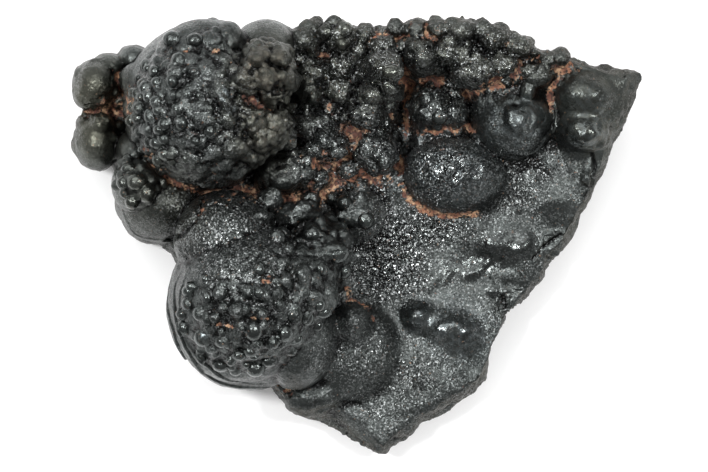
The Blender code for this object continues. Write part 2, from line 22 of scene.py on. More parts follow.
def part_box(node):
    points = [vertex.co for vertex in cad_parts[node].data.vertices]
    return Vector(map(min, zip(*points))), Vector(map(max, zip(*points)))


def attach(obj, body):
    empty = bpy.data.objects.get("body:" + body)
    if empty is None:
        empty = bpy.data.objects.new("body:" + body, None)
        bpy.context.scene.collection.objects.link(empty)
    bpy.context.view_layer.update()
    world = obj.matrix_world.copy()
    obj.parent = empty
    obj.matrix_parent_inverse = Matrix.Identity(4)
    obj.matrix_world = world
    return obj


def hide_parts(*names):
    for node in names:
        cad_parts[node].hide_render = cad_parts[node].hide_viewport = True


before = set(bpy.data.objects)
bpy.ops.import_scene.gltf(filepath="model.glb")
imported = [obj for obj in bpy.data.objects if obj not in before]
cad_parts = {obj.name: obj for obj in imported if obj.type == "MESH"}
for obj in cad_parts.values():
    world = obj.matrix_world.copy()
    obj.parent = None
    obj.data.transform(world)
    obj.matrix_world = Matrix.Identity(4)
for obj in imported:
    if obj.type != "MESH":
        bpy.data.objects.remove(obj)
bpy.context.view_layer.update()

MM = 0.001
SEED = 11

# How fine the skin is, in millimetres and in faces
BASE_STEP = 0.6           # grid that the lobes are fused on before nodules are set on them
SKIN_STEP = 0.22
SKIN_FACES = 195_000
GRAIN_SHARE = 1.0
BASE_ROUNDS = 2           # rounds of softening where lobes meet
NODULE_ROUNDS = 2         # rounds of softening where nodules meet the skin
PROUD_SINK = 0.16         # nodules sunk less than this share also get a fine round cap
CAP_SIZE = 1.01           # how large a cap is beside its nodule
CAP_SINK = 0.03           # how much deeper it lies, as a share of the radius
CAP_KNOBBLY = 0.4         # how knobbly its surface counts as
FILLET_ROUNDS = 150       # rounds of softening at the foot of the low domes
MELT_ROUNDS = 260         # further rounds where a dome runs out into the plate all round
FINEST_STEP = 0.22        # the step that the rounds are meant for
FIRM_EDGE = 1.2           # the slab's edge keeps its shape for this far,
FIRM_FADE = 1.5           # and softens over this much more

# The slab, as in the solid
SLAB_GRID = 1.6           # net of points on its top and underside
FOOT_INSET = 3.0          # how far the underside draws in from the outline
FOOT_SHAKE = 0.6
LOW_SHAKE = 0.4
WAIST_SHARE = 0.4         # where the wall is widest, as a share of its height
WAIST_SHAKE = 0.15
SPOT_REACH = 6.5          # how far a spot height is felt
FOOT_CUT = 0.6            # how much of the underside is cut away flat
NODULE_SINK = 0.1         # how deep a named nodule's middle lies, as a share of its radius
UNEVEN = (0.85, 1.15)     # half axes of a nodule, as shares of its radius
LOBE_FINENESS = 4         # how often the balls for lobes, nodules and caps are divided
NODULE_FINENESS = 2
CAP_FINENESS = 3
CROWD_TRIES = 500
LUMP_RISE = 0.3           # how high a lump's middle lies, as a share of its radius
CLEAR_OF_LOBES = 1.5      # a lobe that stands higher than this over the slab keeps lumps off

# The camera looks straight down, with the top of the picture towards +Y
IMAGE_WIDTH = 708         # of the photograph's frame, in pixels
PIXEL = 0.16              # millimetres across a pixel, at the height of FOCUS_HEIGHT
FOCUS_HEIGHT = 20.0
CAMERA_HEIGHT = 1200.0    # above FOCUS_HEIGHT
PICTURE_MIDDLE = (-0.32, -0.08)


class Lobe(NamedTuple):
    """An ellipsoid of growth: plan centre, height of its crown, half axes, turn in degrees."""

    x: float
    y: float
    top: float
    wide: float
    deep: float
    tall: float
    turn: float = 0.0


class Cover(NamedTuple):
    """Nodules scattered over the skin inside an ellipse in plan, above a height.

    sink is how deep a nodule's middle lies under the skin, as a share of its radius.
    """

    x: float
    y: float
    wide: float
    deep: float
    above: float
    spacing: float
    small: float
    large: float
    sink: float
    turn: float = 0.0


class Crowd(NamedTuple):
    """Lumps crowded on the slab inside an ellipse, each rising a little out of it."""

    x: float
    y: float
    wide: float
    deep: float
    turn: float
    spacing: float
    small: float
    large: float


class Crease(NamedTuple):
    """A groove along a route in plan, in the slab's top or in the skin."""

    width: float
    depth: float
    route: tuple


class Ledge(NamedTuple):
    """Concentric steps from inner to outer radius, on the side that faces a direction.

    spacing and height are of one step; facing and spread are in degrees.
    """

    x: float
    y: float
    inner: float
    outer: float
    spacing: float
    height: float
    facing: float
    spread: float


class Stain(NamedTuple):
    """Earthy rust along a route in plan, and how strong it is."""

    width: float
    strength: float
    route: tuple


class Area(NamedTuple):
    """An ellipse in plan with a soft edge, and how strong it is inside."""

    x: float
    y: float
    wide: float
    deep: float
    strength: float = 1.0
    turn: float = 0.0


class Crust(NamedTuple):
    """Loose crystals sown over an area: how far apart, and how large they are."""

    name: str
    area: Area
    spacing: float
    small: float
    large: float


def areas(*rows):
    """Rows of an area's values, in the order of its fields, as areas."""
    return tuple(Area(*row) for row in rows)


# Corners of the slab seen from above, with how far the top's rim lies inside: x, y, inset
OUTLINE = (
    (45.9, 26.2, 2.6), (44.2, 27.0, 2.4), (41.0, 27.6, 1.6), (38.4, 27.7, 1.0),
    (35.6, 28.7, 0.8), (32.5, 29.6, 0.8), (29.6, 30.4, 0.9), (27.2, 32.0, 1.0),
    (24.0, 33.4, 1.0), (19.5, 33.6, 1.0), (16.0, 34.2, 0.9), (11.0, 34.3, 0.9),
    (7.0, 34.2, 0.8), (2.5, 33.5, 0.8), (-2.0, 34.0, 1.2), (-8.0, 32.6, 1.5),
    (-15.0, 32.0, 2.0), (-23.0, 32.0, 2.0), (-31.0, 29.6, 2.0), (-36.0, 28.6, 1.6),
    (-40.5, 26.5, 1.6), (-43.4, 23.2, 1.6), (-42.4, 20.4, 1.2), (-43.2, 17.0, 1.4),
    (-42.6, 13.6, 1.6), (-39.8, 11.4, 1.6), (-37.4, 7.4, 1.6), (-36.4, 2.6, 1.8),
    (-33.4, 0.2, 1.6), (-30.0, -2.8, 1.0), (-28.0, -7.0, 2.0), (-28.4, -12.0, 2.4),
    (-26.0, -17.6, 2.4), (-21.6, -21.8, 2.2), (-16.0, -23.8, 1.8), (-13.4, -24.6, 0.8),
    (-11.8, -27.0, 0.8), (-10.0, -29.0, 1.0), (-6.6, -30.1, 2.6), (-3.6, -31.2, 3.2),
    (-0.4, -33.1, 3.2), (2.6, -34.7, 2.0), (4.8, -35.3, 1.2), (6.8, -33.6, 1.5),
    (10.6, -31.0, 2.0), (15.0, -28.5, 2.0), (18.8, -25.5, 1.6), (21.0, -23.3, 0.9),
    (21.4, -20.8, 0.6), (23.2, -16.8, 0.7), (24.3, -14.0, 0.6), (24.2, -12.6, 0.5),
    (25.4, -11.6, 0.6), (26.8, -10.2, 0.6), (27.8, -9.2, 0.6), (30.4, -5.8, 0.8),
    (31.6, -3.8, 1.2), (33.6, -1.8, 0.9), (36.0, 2.0, 0.9), (38.4, 7.4, 1.0),
    (40.6, 11.4, 1.1), (42.0, 15.2, 1.3), (43.8, 18.8, 1.8), (45.4, 22.2, 2.8),
)

# Spot heights of the slab's top: x, y and height
GROUND = (
    (43.5, 24.5, 14.6), (38.0, 24.0, 14.0), (31.0, 23.0, 14.5), (31.0, 14.0, 12.6),
    (39.5, 12.0, 12.0), (34.0, 6.0, 11.6), (28.0, 9.0, 11.6), (36.0, 3.0, 10.6),
    (22.0, 3.0, 10.8), (30.0, -5.0, 10.2), (20.0, -8.0, 10.4), (14.0, -3.0, 9.8),
    (7.0, -3.0, 8.8), (6.5, -11.0, 8.8), (24.0, -12.0, 9.8), (20.0, -20.0, 10.0),
    (13.0, -21.0, 11.4), (9.0, -28.0, 10.0), (4.0, -32.0, 8.4), (0.0, -29.0, 9.6),
    (-8.0, -28.0, 9.0), (5.0, 8.5, 11.4), (-4.0, 9.5, 12.6), (8.2, 16.0, 12.5),
    (8.5, 21.0, 12.5), (7.5, 26.0, 15.0), (18.0, 17.5, 13.0), (20.0, 23.0, 16.0),
    (25.0, 26.0, 17.0), (30.0, 28.0, 15.5), (20.0, 30.0, 17.0), (12.0, 32.0, 16.8),
    (3.0, 32.0, 16.0), (3.0, 25.0, 16.5), (-6.0, 31.0, 16.0), (-6.0, 25.5, 13.0),
    (-11.0, 31.0, 14.0), (-5.0, 19.5, 14.5), (-9.0, 5.0, 14.0), (2.0, 17.0, 14.5),
    (-24.5, 6.5, 13.5), (-28.5, -1.5, 10.0), (-38.8, 21.5, 10.5), (-43.3, 19.6, 6.5),
    (-38.0, 27.0, 8.5), (-33.0, 29.0, 9.0), (-14.0, -12.0, 10.0), (-24.0, 20.0, 12.0),
)

# Spot heights of its underside
UNDERSIDE = (
    (-20.0, 20.0, 0.0), (-30.0, 10.0, 0.0), (-10.0, 2.0, 0.0), (-22.0, -10.0, 0.0),
    (-4.0, 18.0, 0.0), (6.0, 8.0, 0.0), (-6.0, -16.0, 0.0), (6.0, -12.0, 0.0),
    (8.0, 22.0, 0.4), (18.0, 10.0, 0.4), (16.0, -6.0, 0.4), (30.0, 18.0, 2.4),
    (22.0, 22.0, 1.2), (44.0, 25.0, 7.0), (38.0, 10.0, 5.6), (33.0, 0.0, 4.6),
    (26.0, -10.0, 4.0), (20.0, -20.0, 3.6), (5.0, -34.0, 3.4), (-8.0, -27.0, 2.4),
    (-24.0, -20.0, 1.4), (-30.0, -8.0, 1.4), (-36.0, 4.0, 2.4), (-42.0, 14.0, 3.6),
    (-42.0, 24.0, 4.2), (-34.0, 29.0, 3.6), (-20.0, 33.0, 3.0), (0.0, 33.0, 3.8),
    (15.0, 33.0, 4.6), (30.0, 29.0, 6.0),
)

# Creases between its parts
CREASES = (
    Crease(1.4, 4.5, ((8.0, 24.0), (8.3, 20.0), (7.6, 16.4), (7.2, 12.0))),
    Crease(1.1, 3.5, ((18.2, 22.0), (17.8, 17.0))),
    Crease(1.2, 2.5, ((9.5, 24.6), (14.5, 25.4), (18.0, 22.5))),
    Crease(1.2, 2.0, ((31.0, 25.5), (31.6, 20.0), (32.0, 15.5))),
    Crease(0.9, 1.2, ((6.8, -17.0), (7.2, -19.0), (6.3, -22.0), (3.0, -25.9), (-4.0, -27.8))),
)

# The lobes that grow on it, as in the solid
LOBES = {
    # The upper left mound: a smooth skirt, a knobbly crown and its grape clusters
    "crown_skirt": Lobe(-24.6, 21.0, 27.5, 12.9, 13.7, 14.0),
    "crown": Lobe(-24.4, 20.4, 32.0, 11.4, 12.4, 12.5),
    "crown_brow": Lobe(-24.5, 29.2, 28.0, 7.8, 5.6, 8.0, 12.0),
    "crown_ear": Lobe(-35.0, 25.2, 19.0, 3.1, 2.9, 6.0),
    "crown_hem": Lobe(-34.6, 18.6, 21.0, 2.6, 5.2, 8.0),
    "crown_tip": Lobe(-22.9, 33.6, 23.0, 1.5, 1.6, 2.4),
    "crown_knob_back": Lobe(-20.4, 32.0, 26.5, 2.4, 2.4, 3.2),
    "crown_knob_left": Lobe(-26.6, 31.6, 26.0, 2.6, 2.3, 3.2),
    "crown_facet": Lobe(-20.9, 21.8, 33.2, 1.9, 2.8, 3.2, 10.0),
    "crown_pebble": Lobe(-19.1, 14.6, 31.4, 2.0, 2.2, 3.0),
    "crown_lip": Lobe(-24.0, 11.4, 27.0, 5.4, 2.9, 6.0, 8.0),
    "grape_high_a": Lobe(-15.6, 28.2, 32.5, 2.5, 2.8, 6.0),
    "grape_high_b": Lobe(-12.3, 28.4, 31.0, 2.2, 2.4, 6.5),
    "grape_high_c": Lobe(-14.2, 25.0, 33.6, 3.1, 2.3, 6.5),
    "grape_high_d": Lobe(-17.4, 25.0, 33.0, 2.0, 2.2, 5.0),
    "grape_high_e": Lobe(-11.2, 25.2, 30.5, 2.0, 2.2, 6.5),
    "grape_high_f": Lobe(-13.6, 22.4, 30.5, 2.6, 1.5, 4.5, -12.0),
    "grape_low_a": Lobe(-16.6, 18.6, 31.0, 2.3, 1.9, 4.0),
    "grape_low_b": Lobe(-12.8, 18.2, 29.0, 2.3, 2.0, 5.5),
    "grape_low_c": Lobe(-14.8, 15.4, 29.5, 2.4, 2.0, 5.5),
    "grape_low_d": Lobe(-11.6, 15.8, 26.0, 1.5, 1.7, 4.0),
    "grape_low_e": Lobe(-16.4, 12.8, 27.5, 1.6, 1.5, 4.0),
    "grape_low_f": Lobe(-19.2, 10.9, 25.5, 2.0, 1.6, 4.5),
    "grape_low_g": Lobe(-23.6, 11.0, 26.0, 2.1, 1.6, 4.5),
    # Its foothills: a smooth dome behind, three small mounds on the far left
    "back_dome": Lobe(-14.5, 30.2, 24.0, 5.4, 4.7, 9.0),
    "left_mound": Lobe(-31.2, 5.6, 20.0, 7.9, 6.9, 13.0, -12.0),
    "left_mound_hem": Lobe(-33.0, 3.2, 14.5, 5.2, 4.4, 9.0, -20.0),
    "left_snout": Lobe(-34.7, 8.4, 22.5, 4.6, 4.8, 8.0),
    "left_snout_ridge": Lobe(-35.6, 13.0, 18.5, 2.9, 4.3, 7.0, 16.0),
    "far_upper": Lobe(-41.9, 24.5, 15.5, 3.9, 4.3, 6.5),
    "far_upper_cheek": Lobe(-43.7, 23.1, 14.0, 2.0, 2.4, 4.0),
    "far_upper_back": Lobe(-40.0, 27.4, 13.0, 3.0, 2.2, 4.5),
    "far_corner": Lobe(-35.9, 28.6, 12.5, 2.6, 2.5, 4.5),
    "far_lower": Lobe(-41.7, 15.4, 14.5, 3.9, 4.8, 6.5),
    "far_lower_cheek": Lobe(-44.0, 14.8, 11.5, 1.8, 2.3, 4.0),
    "far_lower_brow": Lobe(-43.7, 18.2, 12.0, 1.6, 1.4, 3.5),
    "far_lower_knob": Lobe(-41.0, 18.0, 15.0, 1.9, 2.0, 3.5),
    # The lower left mound: skirts like shells, a nodule-covered crown, a smooth side
    "knob_skirt": Lobe(-17.2, -10.8, 24.0, 13.2, 13.9, 12.5),
    "knob_shell": Lobe(-18.2, -11.0, 28.5, 12.0, 12.6, 13.0),
    "knob": Lobe(-17.0, -9.8, 33.4, 11.9, 12.0, 14.0),
    "knob_right": Lobe(-9.6, -8.6, 30.6, 6.8, 6.6, 9.0),
    "knob_shoulder": Lobe(-20.6, -0.6, 28.0, 8.6, 8.0, 11.0, -8.0),
    "knob_smooth_side": Lobe(-8.8, -16.8, 23.0, 5.9, 7.9, 10.0, -12.0),
    "knob_crest": Lobe(-6.4, -2.6, 26.0, 5.8, 5.8, 8.5),
    "knob_step": Lobe(-9.6, 3.2, 23.5, 3.4, 2.5, 6.0, 10.0),
    "knob_step_left": Lobe(-14.0, 5.6, 21.5, 2.4, 2.2, 4.5),
    "knob_step_low": Lobe(-15.4, 3.0, 25.0, 1.8, 1.6, 3.0),
    # The crowded ridge along the back
    "ridge_a": Lobe(-8.4, 31.4, 20.0, 2.6, 2.4, 3.8),
    "ridge_a_tip": Lobe(-6.7, 33.4, 18.5, 1.6, 1.7, 2.8),
    "ridge_b": Lobe(-2.6, 32.2, 20.4, 2.9, 2.9, 4.0),
    "ridge_c": Lobe(-7.2, 26.8, 18.5, 2.7, 2.6, 3.8),
    "ridge_d": Lobe(-2.7, 27.4, 19.5, 2.5, 2.3, 3.6),
    "ridge_e": Lobe(-7.4, 22.8, 18.5, 2.9, 2.4, 3.6),
    "ridge_f": Lobe(-2.9, 23.4, 18.5, 2.4, 2.5, 3.6),
    "ridge_g": Lobe(4.6, 27.0, 23.0, 3.1, 3.0, 5.5),
    "ridge_h": Lobe(4.3, 30.4, 19.5, 2.2, 1.8, 3.0),
    "ridge_i": Lobe(5.9, 23.6, 21.0, 1.9, 1.8, 4.0),
    "ridge_j": Lobe(2.4, 22.6, 20.0, 2.5, 2.2, 4.0),
    "ridge_k": Lobe(1.8, 19.4, 19.5, 3.0, 2.5, 4.0),
    "ridge_l": Lobe(-8.2, 18.2, 18.5, 2.5, 2.5, 3.8),
    "ridge_m": Lobe(-4.5, 15.2, 19.0, 3.4, 3.3, 5.0),
    "ridge_n": Lobe(3.1, 13.7, 17.8, 3.6, 3.6, 5.0),
    "ridge_o": Lobe(-11.2, 10.2, 21.0, 5.4, 3.8, 6.5, 22.0),
    "ridge_p": Lobe(0.0, 3.8, 16.0, 4.9, 4.6, 6.0),
    "ridge_q": Lobe(10.6, 29.1, 21.4, 2.8, 3.6, 5.0),
    "ridge_r": Lobe(9.6, 33.4, 19.0, 2.0, 1.8, 3.0),
    "ridge_s": Lobe(13.2, 33.2, 19.0, 2.2, 1.8, 3.0),
    "ridge_t": Lobe(17.0, 33.0, 20.0, 2.6, 2.2, 3.4),
    "ridge_u": Lobe(15.9, 29.6, 20.0, 2.8, 2.2, 3.4),
    "ridge_v": Lobe(19.3, 26.6, 20.4, 4.4, 2.9, 4.2, 16.0),
    "ridge_v_side": Lobe(23.4, 27.6, 19.6, 2.8, 2.4, 3.4),
    "ridge_w": Lobe(22.4, 31.6, 20.0, 2.9, 2.3, 3.4),
    "ridge_x": Lobe(26.0, 30.4, 19.2, 2.5, 2.1, 3.2),
    "ridge_y": Lobe(32.8, 28.7, 18.0, 1.8, 1.5, 3.0),
    "ridge_z": Lobe(29.2, 26.0, 18.0, 2.8, 2.1, 3.2, 20.0),
    "inner_dome": Lobe(12.2, 20.8, 18.0, 3.7, 3.7, 6.0),
    "inner_dome_side": Lobe(15.8, 19.9, 16.4, 2.2, 2.6, 4.5),
    # The smooth domes on the bare right side
    "dome_large": Lobe(16.0, 10.0, 17.5, 8.4, 6.4, 7.0, -6.0),
    "dome_ringed": Lobe(25.4, 18.3, 18.0, 6.1, 6.0, 6.0),
    "dome_ringed_boss": Lobe(26.2, 18.8, 18.8, 3.2, 3.0, 3.2),
    "dome_twin_back": Lobe(37.0, 22.7, 18.1, 5.2, 4.1, 5.8, -8.0),
    "dome_twin_front": Lobe(36.7, 16.9, 17.7, 4.9, 3.6, 5.8, 4.0),
    "dome_shallow": Lobe(25.0, -0.9, 12.2, 6.2, 4.3, 3.0, -5.0),
    "dome_bead": Lobe(10.1, -13.0, 12.1, 2.7, 2.3, 2.6),
    "dome_blister": Lobe(15.9, -15.1, 12.7, 5.0, 3.7, 3.4, -12.0),
    "dome_chip": Lobe(37.2, 9.7, 13.4, 1.4, 1.6, 2.5),
    "dome_edge": Lobe(32.0, 6.0, 12.6, 3.9, 2.9, 3.6),
    "dome_low": Lobe(26.2, -6.0, 11.4, 4.2, 2.8, 3.4, 12.0),
    "swell": Lobe(-0.8, -18.8, 13.8, 8.8, 7.4, 5.2, 24.0),
    "swell_toe": Lobe(-6.4, -25.8, 12.6, 5.2, 3.1, 4.4, 12.0),
    "swell_cheek": Lobe(-0.4, -13.8, 18.0, 3.0, 3.4, 5.0, 20.0),
}

# Nodules that stand out one by one: x, y and radius, on whatever lobe lies there
NODULES = (
    (-26.5, -8.7, 1.1), (-23.8, -9.1, 1.0), (-21.4, -9.0, 1.2), (-17.0, -8.6, 1.0),
    (-15.2, -8.9, 1.0), (-12.4, -9.0, 1.1), (-24.7, -12.2, 1.2), (-22.3, -12.9, 1.1),
    (-18.8, -11.6, 1.4), (-15.0, -12.1, 1.2), (-27.3, -14.5, 1.2), (-24.2, -16.0, 1.5),
    (-21.2, -16.6, 1.3), (-22.8, -17.8, 1.1), (-16.2, -14.8, 1.6), (-11.2, -15.3, 1.3),
    (-13.2, -16.8, 1.2), (-16.7, -18.2, 1.1), (-18.5, -18.8, 1.2), (-24.6, -19.1, 1.2),
    (-21.5, -20.5, 1.4), (-19.2, -21.2, 1.1), (-16.0, -20.9, 1.7), (-7.8, -12.8, 1.3),
    (-5.2, -12.0, 1.3), (-6.3, -14.2, 1.1), (-9.8, -12.4, 1.4), (-12.5, -0.3, 1.4),
    (-4.0, 2.9, 1.5), (-6.9, 0.4, 1.3), (-8.6, -2.6, 1.7), (-3.0, -2.6, 1.9),
    (-8.6, -6.1, 1.9), (-1.9, -5.5, 1.4), (-5.6, -5.2, 1.3), (-2.1, 0.0, 1.3),
    (-33.4, 23.6, 1.1), (-34.4, 20.4, 1.2), (-31.6, 21.4, 1.3), (-32.8, 19.2, 1.1),
    (-33.6, 17.2, 1.1), (-35.0, 17.0, 1.0), (-31.2, 17.0, 1.1), (-31.5, 14.9, 1.2),
    (-30.2, 13.1, 1.4), (-28.6, 25.7, 1.4), (-29.2, 31.4, 1.4), (-25.6, 31.2, 1.3),
    (-28.0, 27.8, 1.5), (-26.6, 22.6, 1.2), (-27.6, 18.0, 1.2), (-36.4, 12.2, 1.1),
    (-36.3, 10.8, 1.2), (-37.2, 8.6, 1.1), (-35.0, 8.7, 1.5), (-33.4, 7.0, 1.7),
    (-35.8, 5.6, 1.2), (-4.6, 32.8, 1.2), (-1.6, 33.2, 1.2), (-2.2, 30.8, 1.1),
    (-6.6, 14.0, 1.4), (-3.0, 13.6, 1.3), (4.6, 12.0, 1.3), (1.6, 2.6, 1.4),
    (-1.8, 5.4, 1.4), (11.4, 22.0, 1.3), (13.4, 19.2, 1.3), (5.6, 26.2, 1.4),
)

# Lumps crowded on the slab between the lobes
CROWDS = (
    Crowd(-4.0, 26.0, 9.0, 8.5, 0.0, 2.9, 1.2, 2.1),
    Crowd(17.0, 29.5, 15.0, 4.6, -6.0, 2.9, 1.2, 2.0),
    Crowd(28.0, 25.5, 5.0, 2.4, 18.0, 2.6, 1.0, 1.5),
    Crowd(-6.0, 10.5, 8.0, 6.5, 0.0, 3.0, 1.2, 1.9),
    Crowd(-39.0, 22.0, 4.0, 6.0, 0.0, 2.8, 1.0, 1.6),
)

# Nodules scattered on the growth
COVERS = (
    # crown of the upper left mound, its grape clusters, and the lip below
    Cover(-29.5, 20.5, 7.0, 9.0, 19.0, 2.2, 0.75, 1.25, 0.15),
    Cover(-29.0, 20.5, 7.5, 10.0, 19.0, 1.45, 0.35, 0.6, 0.35),
    Cover(-14.6, 20.0, 5.8, 11.5, 19.0, 1.3, 0.55, 1.0, 0.18),
    Cover(-22.0, 20.0, 5.5, 13.0, 20.0, 2.8, 1.2, 2.2, 0.55),
    Cover(-22.0, 20.0, 5.5, 13.0, 20.0, 1.7, 0.5, 0.9, 0.35),
    # the lower left mound: knobbly cap, crest, and small buds on the shoulder
    Cover(-16.6, -13.4, 12.2, 10.0, 23.5, 2.8, 0.6, 1.15, 0.05),
    Cover(-16.6, -12.4, 11.5, 10.0, 24.0, 1.5, 0.35, 0.7, 0.45),
    Cover(-6.0, -3.0, 6.5, 8.5, 16.0, 2.25, 0.8, 1.5, 0.2),
    Cover(-20.5, 0.0, 9.0, 7.0, 20.0, 1.35, 0.4, 0.7, 0.6),
    # far left
    Cover(-34.6, 9.5, 4.0, 5.5, 16.0, 1.8, 0.7, 1.1, 0.3),
    Cover(-42.3, 24.0, 4.0, 5.0, 7.0, 2.65, 0.9, 1.4, 0.75),
    Cover(-42.3, 15.5, 4.0, 5.5, 7.0, 2.3, 0.8, 1.3, 0.75),
    # the crowded ridge
    Cover(-5.5, 26.5, 5.5, 8.5, 10.0, 2.0, 0.8, 1.6, 0.5),
    Cover(3.2, 21.0, 4.4, 13.0, 12.0, 2.05, 0.7, 1.5, 0.55),
    Cover(20.0, 30.0, 12.5, 5.0, 13.0, 2.1, 0.8, 1.6, 0.55, -8.0),
    Cover(-9.0, 11.5, 8.5, 5.5, 13.0, 2.15, 0.8, 1.5, 0.5),
    Cover(12.8, 20.6, 4.8, 4.0, 13.0, 1.6, 0.6, 1.1, 0.4),
    Cover(-0.5, 4.0, 4.6, 4.6, 12.0, 1.85, 0.6, 1.1, 0.5),
)

# Rust in the hollows and along the cracks
STAINS = (
    Stain(1.8, 1.1, ((-41.5, 20.6), (-38.2, 22.6), (-37.0, 20.6))),
    Stain(0.6, 0.8, ((-38.6, 23.6), (-38.6, 26.5))),
    Stain(0.8, 0.7, ((-44.5, 19.6), (-41.5, 19.6))),
    Stain(0.75, 1.0, ((-33.3, 13.6), (-31.9, 11.5), (-30.5, 9.5), (-29.0, 8.5), (-26.2, 7.8))),
    Stain(1.2, 1.1, ((-22.8, 7.9), (-23.5, 6.5), (-22.5, 5.8), (-20.0, 6.6), (-16.5, 7.2))),
    Stain(0.9, 1.0, ((-23.6, 6.5), (-23.8, 5.5), (-24.5, 3.0), (-25.5, 2.0))),
    Stain(0.5, 0.8, ((-17.8, 22.0), (-16.3, 21.5), (-15.3, 20.3), (-13.5, 19.3))),
    Stain(1.7, 1.15, ((-7.5, 11.3), (-4.5, 11.3), (-1.5, 12.8), (-0.8, 15.0), (0.3, 17.2))),
    Stain(1.6, 1.1, ((-2.0, 10.3), (1.0, 9.5), (5.0, 9.5))),
    Stain(1.5, 1.1, ((-4.0, 9.0), (-6.0, 7.5), (-8.5, 6.0), (-10.0, 5.3))),
    Stain(0.7, 1.0, ((7.3, 12.0), (7.2, 8.0), (8.5, 5.5), (11.0, 4.2), (14.0, 3.3), (19.0, 3.7))),
    Stain(0.45, 0.9, ((10.0, 16.4), (11.4, 17.1), (13.0, 16.6), (14.4, 17.2), (16.0, 16.8))),
    Stain(0.5, 0.8, ((16.0, 16.8), (17.5, 18.0), (19.0, 16.8))),
    Stain(1.3, 1.1, ((8.0, 27.0), (8.0, 24.5), (13.5, 25.0))),
    Stain(1.2, 0.95, ((17.5, 22.5), (20.0, 23.5), (23.0, 25.0), (26.5, 26.5))),
    Stain(1.2, 0.95, ((1.5, 31.7), (4.0, 32.0), (8.0, 31.6), (8.0, 33.0), (12.0, 33.0))),
    Stain(1.1, 0.95, ((31.5, 27.5), (33.0, 26.5), (36.0, 28.0))),
    Stain(0.6, 0.8, ((33.0, 25.5), (31.2, 23.5), (31.3, 20.0))),
    Stain(0.6, 0.8, ((-1.5, -8.5), (-1.0, -10.3), (1.5, -11.8))),
    Stain(1.0, 0.9, ((-12.0, -25.0), (-10.0, -25.2))),
    Stain(0.24, 1.1, ((-17.0, -6.9), (-15.2, -7.1), (-13.5, -7.5))),
    Stain(0.20, 0.9, ((-24.0, -14.3), (-21.5, -14.0), (-18.5, -15.0))),
    Stain(0.20, 0.9, ((-16.5, -13.0), (-14.0, -13.2))),
    Stain(0.6, 0.8, ((7.9, 15.0), (8.3, 22.0))),
    Stain(0.7, 1.1, ((5.3, 19.8), (5.8, 19.2))),
    Stain(0.6, 1.1, ((24.8, 30.6), (25.4, 30.4))),
    Stain(0.8, 0.9, ((28.5, 29.3), (29.6, 29.2))),
    Stain(0.4, 1.3, ((2.6, -13.2), (2.9, -13.5))),
    Stain(0.5, 0.9, ((-5.2, -21.3), (-4.8, -21.4))),
    Stain(0.7, 1.0, ((-2.0, -32.0), (1.0, -33.7))),
    Stain(0.35, 0.9, ((8.8, -20.7), (9.2, -20.7))),
)

# Small spots of rust, as the ends of each
SPOT_WIDTH = 0.4
SPOT_STRENGTH = 0.9
SPOTS = (
    ((-27.5, 29.4), (-27.0, 29.4)), ((-22.2, 31.3), (-21.8, 31.1)),
    ((-22.7, 29.3), (-22.3, 29.3)), ((-26.3, 16.3), (-25.6, 16.0)),
    ((-10.3, 15.2), (-10.3, 14.6)), ((-11.8, 6.1), (-11.2, 5.9)), ((-5.5, 29.0), (-4.5, 29.0)),
    ((-1.3, 25.0), (-1.3, 24.4)), ((-4.3, 20.8), (-4.2, 19.6)),
)

# Shells that stick out from under each other round a middle
LEDGE_END = 1.3           # where a step runs out, as a share of its spread
LEDGE_WAVE = 0.35         # how far a step weaves in and out
LEDGE_WAVES = 5.0         # how often it does so in a full circle
LEDGES = (
    Ledge(26.2, 19.2, 2.2, 6.2, 1.9, 0.42, -40.0, 62.0),
    Ledge(-15.6, -11.4, 12.4, 15.0, 1.2, 0.40, 220.0, 60.0),
    Ledge(-31.5, 5.5, 6.0, 8.4, 1.5, 0.20, 250.0, 60.0),
    Ledge(25.6, -11.4, 0.5, 3.2, 0.8, 0.40, 140.0, 110.0),
    Ledge(32.2, -2.4, 0.6, 3.4, 0.9, 0.35, 150.0, 100.0),
)

# Fine cracks in the skin
CRACKS = (
    Crease(0.30, 0.55, ((28.6, -3.6), (30.0, -2.0), (31.5, -0.8), (33.0, 0.2))),
    Crease(0.45, 0.60, ((-24.5, 6.0), (-25.5, 3.0), (-28.0, 0.3), (-30.5, -1.0))),
    Crease(0.30, 0.40, ((38.0, 13.2), (38.8, 11.0), (38.2, 8.6), (37.0, 6.4))),
    Crease(0.35, 0.40, ((23.6, -9.6), (24.2, -11.4), (24.0, -13.4))),
)

# Where the crowns of the domes are puckered
WRINKLES = areas(
    (17.2, 9.8, 4.2, 3.0, 1.5, -6.0), (26.0, 19.2, 2.1, 2.2, 1.4), (36.8, 16.8, 3.8, 2.4),
    (37.0, 22.0, 3.8, 2.8, 0.4), (25.0, -1.4, 4.0, 2.4, 0.5), (15.6, -15.0, 3.6, 2.4, 0.3),
    (19.0, -5.0, 8.5, 2.6, 1.1, 18.0), (4.6, 26.0, 3.4, 3.6, 0.9), (10.6, 29.2, 2.6, 3.2, 0.7),
    (1.5, 19.5, 2.2, 2.0, 0.7), (37.6, 9.8, 1.8, 2.8, 1.2, -20.0),
    (31.2, -2.4, 2.6, 1.8, 1.0, 30.0), (25.0, -11.0, 1.8, 2.4, 1.1), (23.0, -7.4, 2.2, 1.6, 0.7),
)
FOLD_DIRECTION = 52.0     # degrees in plan that the puckers run along
FOLD_STRETCH = 2.4        # how much longer than wide they are

# Where the growth is rugged between its nodules
RUGGED = areas(
    (-22.0, 20.5, 11.0, 12.0), (-14.0, 20.0, 6.5, 11.5), (-16.0, -12.5, 11.5, 10.0, 0.8),
    (-6.5, -3.0, 7.0, 9.0, 0.9), (-1.5, 22.0, 12.0, 14.0, 0.9),
    (19.0, 28.5, 13.0, 7.0, 0.9, -6.0), (12.8, 20.6, 5.0, 4.2, 0.8), (-9.0, 10.5, 9.0, 6.0, 0.9),
)

